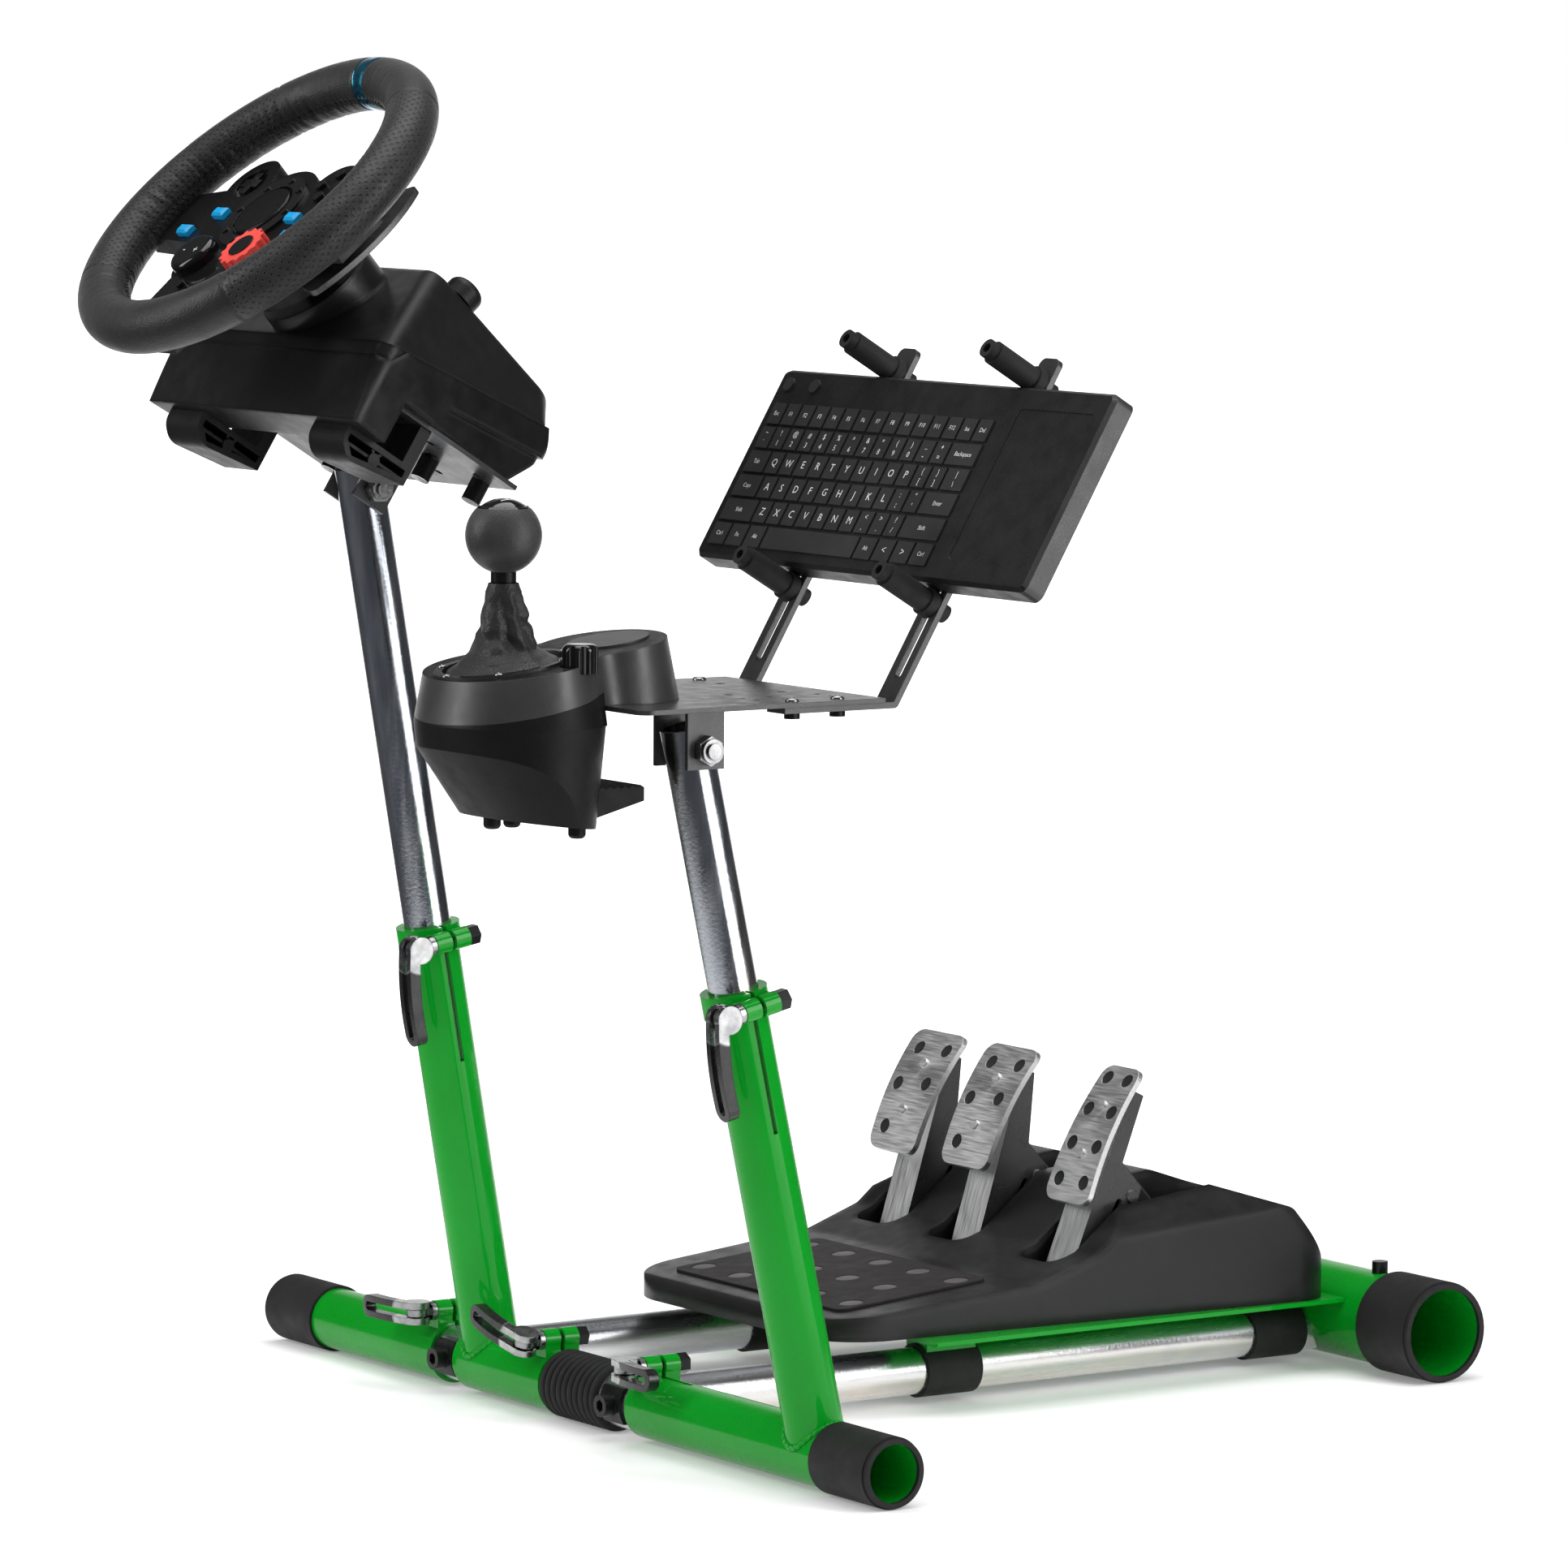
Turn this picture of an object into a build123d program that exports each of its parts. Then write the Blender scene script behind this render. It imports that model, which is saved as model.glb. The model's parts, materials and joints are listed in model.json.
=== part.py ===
from build123d import *
from math import atan2, cos, degrees, hypot, radians, sin
import os

# Racing wheel stand with wheel, shifter, keyboard and pedals. Millimetres.
# While modelling, X runs to the driver's right from the wheel post, Y runs from the front crossbar
# towards the pedals, and Z is up from the floor. The finished solids are moved by -ORIGIN.

# Tubes and caps
CHROME_R = 16.0
CHROME_WALL = 2.0
POST_R = 19.0
SLEEVE_R = 21.2
SLEEVE_WALL = 2.5
REAR_R = 31.75
REAR_WALL = 1.75
TUBE_FIT = 0.1
CAP_WALL = 2.0
CAP_LENGTH = 60.0
CAP_LIP = 3.0
REAR_CAP_WALL = 3.2
REAR_CAP_LENGTH = 52.0

# Base frame
CROSS_LEFT = -270.0
CROSS_RIGHT = 477.0
LEFT_SLEEVE_END = -48.0
CENTRE_SLEEVE_START = -19.5
CENTRE_SLEEVE_END = 90.0
RIGHT_SLEEVE_START = 196.0
CROSS_TUBE_SPAN = (-180.0, 330.0)
LONG_TUBE_X = (-33.0, 178.0)
LONG_TUBE_START = 26.0
PLUG_R = 10.0
PLUG_DEPTH = 40.0
REAR_Y = 576.0
REAR_HALF = 232.5
RING_COUNT = 10
RING_SPAN = (92.0, 160.0)
RING_BEAD_R = 2.9
RING_MAJOR_R = 20.0
SOCKET_BOLT_R = 7.5
SOCKET_BOLT_HEAD = 10.0
SOCKET_R = 4.2
SOCKET_DEPTH = 5.0
SADDLE_WIDTH = 24.0
SADDLE_THICK = 2.5
SADDLE_BACK = -5.0
REAR_BOLT_R = 5.5
REAR_BOLT_HEAD = 8.0
REAR_BOLT_INSET = 70.0
PLUG_WEB = 4.0
COLLAR_R = 18.3
COLLAR_LENGTH = 44.0
COLLAR_FRONT_Y = 222.0
COLLAR_REAR_GAP = 3.0

# Posts and masts
MAIN_LEAN = 9.9
SIDE_LEAN = 12.5
SIDE_POST_X = 392.0
MAIN_POST_TOP = 306.0
SIDE_POST_TOP = 308.0
MAIN_PIVOT = 604.0
SIDE_PIVOT = 465.0
MAST_OVER_PIVOT = 14.0
MAIN_MAST_INSIDE = 150.0
SIDE_MAST_INSIDE = 140.0
POST_COLLAR_R = 21.5
POST_COLLAR_HEIGHT = 16.0

# Cam clamps: a slit tube end, two lugs, a cross bolt and a looped lever
SLIT_WIDTH = 3.0
SLIT_LENGTH = 84.0
SLEEVE_SLIT_LENGTH = 40.0
LUG_R = 7.0
LUG_OUT = 13.0
LUG_RISE = 7.0
LUG_INSET = 9.0
BOLT_R = 4.0
PIN_CLEARANCE = 0.06
HEX_R = 7.0
HEX_LENGTH = 8.0
FERRULE_R = 6.4
FERRULE_LENGTH = 4.0
EYE_R = 7.0
EYE_HALF = 2.4
CAM_R = 9.0
CAM_GAP = 0.4
CHEEK_INNER = 3.0
CHEEK_OUTER = 7.5
SLEEVE_HANDLE = 42.0
POST_HANDLE = 56.0
HANDLE_WIDTH = 8.0
HANDLE_BOW = 4.5
HANDLE_FLARE = 4.0
CAM_PIN_R = 3.0
CENTRE_ROLL = 18.0

# Tilting brackets under the wheel plate and the deck
PLATE_THICK = 3.0
EAR_GAP = 16.6
EAR_THICK = 3.0
EAR_WIDTH = 27.0
EAR_BELOW = 12.0
PIVOT_TO_PLATE = 27.0
TILT_BOLT_R = 5.0
NUT_R = 9.5
NUT_LENGTH = 6.5
NUT_COLLAR_R = 7.6
NUT_COLLAR = 2.5
THREAD_END = 2.0

# Wheel unit, in the frame of its plate: Y to the rear along the plate, Z off the plate
PLATE_TILT = 32.0
PLATE_HALF = 118.0
PLATE_Y = (-66.0, 38.0)
PLATE_HOLE_R = 3.0
PLATE_HOLES_X = (-92.0, -44.0, 44.0, 92.0)
PLATE_HOLES_Y = (-20.0, 22.0)
PLATE_SLOT = (16.0, 6.0)
PLATE_SLOTS_X = (-66.0, 66.0)
PLATE_SLOT_Y = -2.0
STANDOFFS = ((-84.0, 31.0), (-58.0, 4.0), (58.0, 4.0), (84.0, 31.0))
STANDOFF_R = 6.5
STANDOFF_LENGTH = 15.0
HOUSING_FRONT_HALF = 137.0
HOUSING_REAR_HALF = 103.0
HOUSING_Y = (-107.0, 57.0)
HOUSING_CORNER = 10.0
LIP_Y = (-100.0, -70.0)
LIP_BOTTOM = 0.0
HEEL_CUT_Y = 35.0
HEEL_CUT_Z = 61.0
SEAM_FRONT = (-107.0, 54.0)
SEAM_REAR = (46.0, 78.0)
SEAM_STEP_Y = (-97.0, -88.0)
BROW_INSET = 0.6
SEAM_LOW = 45.0
PANEL_FRONT = -46.0
PANEL_SLANT = 10.0
PANEL_BELOW_SEAM = 20.0
PANEL_DEPTH = 3.5
CROWN_FRONT = (-62.0, 134.0)
CROWN_REAR = (52.0, 98.0)
CROWN_FRONT_INSET = 73.0
CROWN_REAR_INSET = 13.0
CROWN_FRONT_HALF = HOUSING_FRONT_HALF - CROWN_FRONT_INSET
CROWN_REAR_HALF = HOUSING_REAR_HALF - CROWN_REAR_INSET
CROWN_CORNER = 16.0
CROWN_ROUND = 7.0
SHROUD_R = 40.0
SHROUD_FRONT = -66.0
SHROUD_BACK = -150.0
FOOT_X = (72.0, 116.0)
FOOT_Y = (-92.0, -36.0)
FOOT_BOTTOM = -20.0
FOOT_NOSE = 10.0
FOOT_ROUND = 13.0
FOOT_RAMP = 7.0
FOOT_WALL = 9.0
FOOT_RIM = 4.0
FOOT_POCKET = 19.0
FOOT_BOSS_R = 4.5
FOOT_RIB = 2.2
FOOT_RIBS = 6
CLAMP_KNOB_R = 13.0
CLAMP_KNOB_HEIGHT = 14.0
CLAMP_KNOB_ROUND = 6.0
CLAMP_KNOB_X = 58.0
CLAMP_KNOB_Y = 30.0

# Steering wheel, in its own frame: X right, Y up the rim, Z towards the driver
WHEEL_AXIS_RISE = 17.7
WHEEL_FORWARD = 166.0
WHEEL_RISE = 117.0
RIM_R = 121.0
RIM_SECTION_R = 17.5
HUB_R = 42.0
HUB_FACE = -8.0
HUB_THICK = 14.0
HUB_BOSS_R = 40.0
HUB_BOSS_BACK = -58.0
HUB_LOBES = (((-54.0, 28.0), 23.0), ((50.0, 27.5), 22.0), ((-25.0, -47.0), 21.0), ((34.5, -41.0), 22.0))
SHAFT_R = 12.0
SHAFT_BACK = -102.0
TRIM_RING = (34.0, 24.0)
TRIM_RISE = 2.5
CENTRE_CAP_R = 22.0
CENTRE_CAP_RISE = 3.5
CENTRE_CAP_ROUND = 2.0
SPOKE_ROOT = 34.0
SPOKE_TIP = (-28.0, 12.0)
LOW_SPOKE = (40.0, 32.0)
PADDLE_OUTER = ((80.0, -40.0), (93.0, 5.0), (78.0, 66.0))
PADDLE_INNER = ((60.0, 58.0), (56.0, -34.0))
PADDLE_CORNER = 6.0
PADDLE_ROOT = (27.0, 65.0)
PADDLE_ROOT_HALF = 11.0
PADDLE_Z = -40.0
PADDLE_THICK = 4.0
PADDLE_PIN_X = 30.0
PADDLE_PIN_R = 2.5
PADDLE_KNUCKLE = 2.0
PADDLE_PIN_HALF = 18.0
PIN_END_GAP = 0.5
POCKET_HALF = 14.0
POCKET_DEPTH = 8.0
DIAL_CENTRE = (34.5, -41.0)
DIAL_R = 15.5
DIAL_HEIGHT = 9.0
DIAL_RIBS = 14
DIAL_RIB_R = 1.9
DIAL_SPIGOT_R = 9.5
DIAL_SPIGOT = 10.0
FACE_GAP = 0.3
KNOB_CENTRE = (-25.0, -47.0)
KNOB_R = 17.0
KNOB_HEIGHT = 9.0
KNOB_ROUND = 4.0
BLUE_BUTTONS = ((-72.0, -22.0), (-49.0, -4.0), (46.0, -5.0), (62.0, -22.0))
BLUE_SIZE = (13.0, 8.0, 5.0)
BLUE_CHAMFER = 1.6
ROUND_BUTTON_R = 4.2
ROUND_CLUSTER = (50.0, 27.5)
ROUND_CLUSTER_R = 11.0
DPAD_CENTRE = (-54.0, 28.0)
DPAD_REACH = 10.0
DPAD_WIDTH = 7.0
DISH_R = 14.0
DISH_DEPTH = 2.5
BUTTON_RISE = 3.0
RING_BUTTON_R = 2.6
RING_BUTTON_RISE = 1.0
RING_BUTTONS = 8
SPOKE_BUTTONS = ((-12.0, -72.0), (10.0, -76.0))
SPOKE_BUTTON_R = 3.5

# Deck and keyboard holder
DECK_X = (262.0, 444.0)
DECK_FRONT = -168.0
DECK_BACK = 12.0
DECK_CORNER = 9.0
DECK_HOLE_R = 3.0
DECK_HOLE_CENTRE = (340.0, -40.0)
DECK_HOLE_SPACING = (70.0, 40.0)
DECK_SMALL_R = 2.0
DECK_SMALL_X = (400.0, 416.0)
DECK_SMALL_Y = (-66.0, -46.0, -10.0)
DECK_BOLT_R = 5.0
DECK_BOLT_HEAD = 4.0
ARM_SPACING = 157.0
ARM_WIDTH = 20.0
ARM_THICK = 4.0
ARM_FRONT = -62.0
ARM_BEND_Y = 20.0
ARM_PITCH = 59.2
ARM_LENGTH = 246.0
ARM_END_ROUND = 5.0
ARM_SLOT_START = 16.0
ARM_SLOT_MARGIN = 10.0
ARM_SLOT_WIDTH = 7.0
ARM_BOLTS = (-50.0, -16.0)
PEG_R = 8.0
PEG_LENGTH = 47.0
PEG_LOW = 68.0
PEG_FLANGE_R = 9.5
PEG_FLANGE = 7.0
PEG_TIP_R = 6.4
PEG_TIP = 6.0
PEG_HOLE_R = 3.2
PEG_NUT_R = 6.0
PEG_NUT = 8.0
KEYBOARD_X = 357.0
KEYBOARD_SIZE = (369.0, 140.0, 16.0)
KEYBOARD_EDGE = 6.0
KEYBOARD_BEVEL = 2.5
KEY_ROWS = (
    (1.0,) * 15,
    (1.0,) * 13 + (2.0,),
    (1.5,) + (1.0,) * 12 + (1.5,),
    (1.8,) + (1.0,) * 11 + (2.2,),
    (2.3,) + (1.0,) * 10 + (2.7,),
    (1.2,) * 3 + (6.2,) + (1.2,) * 4,
)
KEYS_LEFT = 9.0
KEYS_WIDTH = 250.0
KEYS_TOP = 25.0
KEYS_BOTTOM = 8.0
KEY_GAP = 2.4
KEY_RISE = 1.4
MEDIA_BUTTONS = (14.0, 44.0)
MEDIA_BUTTON_R = 5.0
MEDIA_BUTTON_DROP = 12.0
TOUCHPAD = (80.0, 108.0)
TOUCHPAD_RIGHT = 12.0
TOUCHPAD_DEPTH = 0.6
TOUCHPAD_CORNER = 4.0

# Shifter, from the middle of the deck's front edge: two drafted ovals that share a sloping top
SHIFTER_X = 350.0
BULB_Y = -37.0
BULB_SIZE = (70.5, 55.5)
TAIL_Y = 30.0
TAIL_SIZE = (56.0, 48.0)
WAIST_ROUND = 22.0
SHELL_RISE = 48.0
SHELL_DRAFT = 11.5
SHIFTER_SEAM = ((-92.0, -11.0), (0.0, 8.0))
SHIFTER_TOP = ((-92.0, 15.0), (78.0, 42.0))
GIRDLE = -12.0
SHIFTER_BOTTOM = -77.0
SHIFTER_BOTTOM_SIZE = (61.0, 50.0)
SHIFTER_REAR_GAP = 0.5
CHIN_MARGIN = 9.0
CHIN_Y = -16.0
CHIN_SIZE = (58.0, 40.0)
KEEL = ((-92.0, -66.0), (0.0, -77.0))
BOOT_Y = -42.0
BOWL_R = 38.0
BOWL_FLOOR = -14.0
BOWL_RING_R = 43.0
BOWL_RING_RISE = 1.6
WINDOW_R = 26.0
WINDOW_Y = 36.0
WINDOW_RISE = 1.2
LEVER_PIVOT_Z = 11.0
LEVER_BALL_R = 23.8
LEVER_BALL_Z = 103.5
LEVER_CAP_CUT = 18.0
LEVER_CAP_STEP = 0.8
LEVER_SHAFT_R = 6.0
LEVER_COLLAR = 2.0
LEVER_COLLAR_BITE = 6.0
LEVER_JOINT_R = 8.5
GIMBAL_R = 13.0
GIMBAL_BORE = 9.5
GIMBAL_HALF = 4.0
GIMBAL_PIN_R = 3.0
GIMBAL_STUB_R = 2.0
CRADLE_Y = (15.0, 19.0)
CRADLE_TOP = 15.5
CRADLE_WIDTH = 12.0
BOOT_PROFILE = ((32.0, 4.0), (29.5, 14.0), (20.0, 27.0), (14.5, 40.0), (12.0, 52.0))
BOOT_TOP_Z = 74.5
BOOT_WALL = 2.5
JAW_DEPTH = 39.0
JAW_HALF = 36.0
JAW_ROOT = (-72.0, -53.5)
JAW_TIP_BOTTOM = -62.0
JAW_TEETH = 7
JAW_TOOTH = 1.6
SMALL_KNOB = (51.0, -18.0)
SMALL_KNOB_R = 9.6
SMALL_KNOB_RIBS = 9
SMALL_KNOB_RIB_R = 1.8
SMALL_KNOB_SEAT_R = 13.0
SMALL_KNOB_SEAT_Z = 21.0
SMALL_KNOB_HEIGHT = 18.0
SMALL_KNOB_ROUND = 4.5
FOOT_PEGS = ((-38.0, -12.0), (38.0, -12.0), (0.0, -50.0))
FOOT_PEG_R = 5.5
FOOT_PEG_HEIGHT = 7.0
FOOT_PEG_ROUND = 3.0

# Pedal unit on its plate
UNIT_X = 72.5
PLATE_TOP = 51.0
PEDAL_PLATE_HALF = 157.0
PEDAL_PLATE_FRONT = 205.0
UNIT_FRONT = 138.0
UNIT_BACK = 545.0
UNIT_FRONT_HALF = 131.0
UNIT_BACK_HALF = 155.0
UNIT_FRONT_CORNER = 48.0
UNIT_BACK_CORNER = 30.0
HEEL_FRONT = (146.0, 66.0)
HEEL_FRONT_EDGE = 60.0
HEEL_BACK = (300.0, 80.0)
SILL = (345.0, 95.0)
HUMP_FRONT = (400.0, 138.0)
HUMP_CREST = (430.0, 142.0)
HUMP_BACK = (505.0, 117.0)
UNIT_BACK_TOP = (538.0, 78.0)
SIDE_LINE = ((138.0, 62.0), (300.0, 80.0), (335.0, 96.0), (500.0, 116.0), (560.0, 110.0))
ROOF_HALF = 104.0
ROOF_RISE = 30.0
BASE_ROUND = 12.0
HEEL_PAD_SIZE = (206.0, 122.0, 1.6)
HEEL_PAD_CORNER = 8.0
HEEL_PAD_Y = 224.0
HEEL_DOT_R = 8.5
HEEL_DOT_DEPTH = 0.5
HEEL_DOT_PITCH = (45.0, 43.0)
HEEL_DOT_ROWS = (5, 4, 5)
SADDLE_HALF = 12.0
SADDLE_END = 2.0
PEDAL_X = (-29.0, 59.0, 169.0)
PEDAL_NAMES = ("clutch", "brake", "gas")
PEDAL_PIVOT = (352.0, 72.0)
PEDAL_PIN_R = 4.0
PEDAL_PIN_SEAT = 4.0
POCKET_WIDTH = 44.0
POCKET_Y = (326.0, 478.0)
POCKET_CORNER = 12.0
POCKET_FLOOR = 57.0
ARM_CHANNEL = 30.0
ARM_FOOT_FRONT = (-12.0, -8.0)
ARM_FOOT_REAR = (22.0, -4.0)
ARM_KNUCKLE = (46.0, 56.0)
ARM_KNUCKLE_TOP = (38.0, 80.0)
ARM_KNUCKLE_REAR = (54.0, 62.0)
ARM_KNUCKLE_LOW = (50.0, 48.0)
ARM_TOP_DEPTH = (10.0, -5.0)
ARM_TOP_SHARE = 0.36
ARM_HOLLOW = (6.0, -1.0)
ARM_BOLT_R = 4.5
ARM_BOLT_PROUD = 2.0
ARM_WINDOW = (34.0, 5.0)
ARM_WINDOW_AT = (28.0, 40.0)
SHEET = 3.0
PAD_THICK = 4.0
PAD_CENTRES = ((362.0, 180.0), (362.0, 180.0), (373.0, 173.0))
PAD_LENGTHS = (92.0, 92.0, 102.0)
PAD_TOPS = (60.0, 60.0, 40.0)
PAD_BOTTOMS = (54.0, 54.0, 50.0)
PAD_CORNER = 9.0
PAD_RISE = 60.7
PAD_CURVE = 5.0
WIDE_STUDS = ((-15.0, 31.0), (17.0, 32.0), (-18.0, 2.0), (14.0, 5.0), (-14.0, -30.0))
SLIM_STUDS = ((-11.0, 41.0), (11.0, 41.0), (-13.0, 16.0), (13.0, 16.0), (-14.0, -10.0), (14.0, -10.0),
              (-14.0, -36.0), (14.0, -36.0))
PAD_STUDS = (WIDE_STUDS, WIDE_STUDS, SLIM_STUDS)
STUD_R = 5.2
STUD_DEPTH = 1.4
PAD_BOLTS = (20.0, -16.5)
PAD_BOLT_R = 3.6
PAD_BOLT_RISE = 1.5
SPRING_R = 12.6
SPRING_TOP = (44.0, 62.0)
SPRING_RUN = (32.0, -34.0)

# Worked-out places
CROSS_Z = SLEEVE_R + CAP_WALL
REAR_Z = REAR_R + REAR_CAP_WALL
SLEEVE_BORE = SLEEVE_R - SLEEVE_WALL
CROSS_TUBE_R = SLEEVE_BORE - TUBE_FIT
POST_BORE = CHROME_R + TUBE_FIT
CAM_OFFSET = LUG_OUT + FERRULE_LENGTH + CAM_GAP + CAM_R
BOOT_NECK_R = LEVER_SHAFT_R + BOOT_WALL
KEYBOARD_W, KEYBOARD_H, KEYBOARD_T = KEYBOARD_SIZE
DECK_MID = sum(DECK_X) / 2
ARM_X = (DECK_MID - ARM_SPACING / 2, DECK_MID + ARM_SPACING / 2)


def along_post(lean, distance):
    """Y and Z of a point on a post, measured from the crossbar's axis."""
    return -distance * sin(radians(lean)), CROSS_Z + distance * cos(radians(lean))


MAIN_PIVOT_Y, MAIN_PIVOT_Z = along_post(MAIN_LEAN, MAIN_PIVOT)
SIDE_PIVOT_Y, SIDE_PIVOT_Z = along_post(SIDE_LEAN, SIDE_PIVOT)
DECK_TOP = SIDE_PIVOT_Z + PIVOT_TO_PLATE + PLATE_THICK
PLATE_TOP_B = PIVOT_TO_PLATE + PLATE_THICK
UNIT_FRAME = Pos(0, MAIN_PIVOT_Y, MAIN_PIVOT_Z) * Rot(X=-PLATE_TILT)
WHEEL_FRAME = UNIT_FRAME * Pos(0, -WHEEL_FORWARD, WHEEL_RISE) * Rot(X=90 - WHEEL_AXIS_RISE)
SHIFTER_FRAME = Pos(SHIFTER_X, DECK_FRONT, DECK_TOP)
ARM_FRAME = Pos(0, ARM_BEND_Y, DECK_TOP - PLATE_THICK) * Rot(X=ARM_PITCH)
RIM_CENTRE = WHEEL_FRAME.position
WHEEL_LEAN = radians(90 - WHEEL_AXIS_RISE - PLATE_TILT)
RIM_FRONT = RIM_CENTRE.Y - RIM_R * cos(WHEEL_LEAN) - RIM_SECTION_R
ORIGIN = (
    (CROSS_LEFT + KEYBOARD_X + KEYBOARD_W / 2) / 2,
    (RIM_FRONT + REAR_Y + REAR_R + REAR_CAP_WALL) / 2,
    0.0,
)


def tube(outer, inner, start, end):
    """Round tube from one point to another."""
    run = Vector(*end) - Vector(*start)
    section = Circle(outer) - Circle(inner)
    return extrude(Plane(origin=start, z_dir=run) * section, amount=run.length)


def rod(radius, start, end):
    """Round bar from one point to another."""
    run = Vector(*end) - Vector(*start)
    return extrude(Plane(origin=start, z_dir=run) * Circle(radius), amount=run.length)


def hex_rod(radius, start, end):
    """Hexagon bar from one point to another."""
    run = Vector(*end) - Vector(*start)
    return extrude(Plane(origin=start, z_dir=run) * RegularPolygon(radius, 6), amount=run.length)


def block(x_span, y_span, z_span):
    """Box between pairs of limits."""
    spans = (x_span, y_span, z_span)
    sizes = [high - low for low, high in spans]
    centre = [(low + high) / 2 for low, high in spans]
    return Pos(*centre) * Box(*sizes)


def side_prism(points, x_start, x_end):
    """Profile in Y and Z, drawn out along X."""
    outline = Plane.YZ.offset(x_start) * Polygon(*points, align=None)
    return extrude(outline, amount=x_end - x_start, dir=(1, 0, 0))


def upright_prism(sketch, z_start, z_end):
    """Plan outline drawn up from one height to another."""
    return extrude(Plane.XY.offset(z_start) * sketch, amount=z_end - z_start, dir=(0, 0, 1))


def post_point(x, lean, distance):
    """Point on a post's axis, measured from the crossbar's axis."""
    y, z = along_post(lean, distance)
    return (x, y, z)


def clamp_frame_on_sleeve(x):
    """Clamp frame on the crossbar: X along the tube, Y along the bolt, Z to the lugs."""
    return Pos(x, 0, CROSS_Z)


def clamp_frame_on_post(x, lean, top):
    """Clamp frame at a post's top end: X down the post, Y along the bolt, Z to the lugs."""
    at = post_point(x, lean, top - LUG_INSET)
    down = (0, sin(radians(lean)), -cos(radians(lean)))
    return Plane(origin=at, x_dir=down, z_dir=(1, 0, 0)).location


def lugs(tube_r):
    """Two bosses on webs, either side of the slit, bored for the clamp bolt."""
    bolt_z = tube_r + LUG_RISE
    both = []
    for side in (-1, 1):
        inner, outer = side * SLIT_WIDTH / 2, side * LUG_OUT
        boss = rod(LUG_R, (0, inner, bolt_z), (0, outer, bolt_z))
        y_span = sorted((inner, outer))
        web = block((-LUG_R + 1, LUG_R - 1), y_span, (tube_r - LUG_RISE, bolt_z))
        both.append(boss + web)
    bore = rod(BOLT_R + PIN_CLEARANCE, (0, -2 * LUG_OUT, bolt_z), (0, 2 * LUG_OUT, bolt_z))
    return both[0] + both[1] - bore


def slit(tube_r, direction, length):
    """Saw cut through one wall of a clamp's tube end."""
    x_span = sorted((-direction * 2 * LUG_INSET, direction * length))
    return block(x_span, (-SLIT_WIDTH / 2, SLIT_WIDTH / 2), (0, tube_r + 2 * LUG_RISE))


def clamp_bolt(tube_r):
    """Eye bolt with its ferrules and hexagon head."""
    bolt_z = tube_r + LUG_RISE
    ferrule_end = -LUG_OUT - FERRULE_LENGTH
    shank = rod(BOLT_R, (0, ferrule_end, bolt_z), (0, LUG_OUT + HEX_LENGTH, bolt_z))
    neck = block((-BOLT_R, BOLT_R), (-CAM_OFFSET, ferrule_end), (bolt_z - EYE_HALF, bolt_z + EYE_HALF))
    eye = rod(EYE_R, (0, -CAM_OFFSET, bolt_z - EYE_HALF), (0, -CAM_OFFSET, bolt_z + EYE_HALF))
    head = hex_rod(HEX_R, (0, LUG_OUT, bolt_z), (0, LUG_OUT + HEX_LENGTH, bolt_z))
    ferrule = rod(FERRULE_R, (0, ferrule_end, bolt_z), (0, -LUG_OUT, bolt_z))
    hole_r = CAM_PIN_R + PIN_CLEARANCE
    hole = rod(hole_r, (0, -CAM_OFFSET, bolt_z - EYE_R), (0, -CAM_OFFSET, bolt_z + EYE_R))
    return shank + neck + eye + head + ferrule - hole


def cam_lever(tube_r, direction, length):
    """Looped lever: two cam cheeks on a pin, bowed outwards to a closed round end."""
    bolt_z = tube_r + LUG_RISE
    stadium = SlotOverall(length + 2 * CHEEK_OUTER, 2 * CHEEK_OUTER)
    stadium -= SlotOverall(length + 2 * CHEEK_INNER, 2 * CHEEK_INNER)
    loop = Pos(length / 2, 0, 0) * extrude(Plane.XZ * stadium, amount=4 * CAM_R, both=True)
    tip = length + CHEEK_OUTER
    low = -CAM_R
    high = low + HANDLE_WIDTH
    side = make_face([
        ThreePointArc((0, low), (tip / 2, low - HANDLE_BOW), (tip, low - HANDLE_FLARE)),
        Line((tip, low - HANDLE_FLARE), (tip, high - HANDLE_FLARE)),
        ThreePointArc((tip, high - HANDLE_FLARE), (tip / 2, high - HANDLE_BOW), (0, high)),
        Line((0, high), (0, low)),
    ])
    rails = extrude(side, amount=CHEEK_OUTER, both=True) & loop
    cam = rod(CAM_R, (0, 0, -CHEEK_OUTER), (0, 0, CHEEK_OUTER))
    throat = rod(CAM_R + 1, (0, 0, -CHEEK_INNER), (0, 0, CHEEK_INNER))
    pin = rod(CAM_PIN_R, (0, 0, -CHEEK_OUTER), (0, 0, CHEEK_OUTER))
    lever = rails + (cam - throat) + pin
    if direction < 0:
        lever = mirror(lever, about=Plane.YZ)
    return Pos(0, -CAM_OFFSET, bolt_z) * lever


def turned_on_bolt(angle):
    """Turn of a sleeve clamp's eye and lever about the clamp bolt."""
    bolt_z = SLEEVE_R + LUG_RISE
    return Pos(0, 0, bolt_z) * Rot(Y=angle) * Pos(0, 0, -bolt_z)


def sleeve(x_start, x_end, clamp_x, slit_direction):
    """Crossbar sleeve, slit and lugged at its clamp end."""
    frame = clamp_frame_on_sleeve(clamp_x)
    body = tube(SLEEVE_R, SLEEVE_BORE, (x_start, 0, CROSS_Z), (x_end, 0, CROSS_Z))
    hollow = rod(SLEEVE_BORE, (x_start - 1, 0, CROSS_Z), (x_end + 1, 0, CROSS_Z))
    cut = frame * slit(SLEEVE_R, slit_direction, SLEEVE_SLIT_LENGTH)
    return body + (frame * lugs(SLEEVE_R) - hollow) - cut


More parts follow.
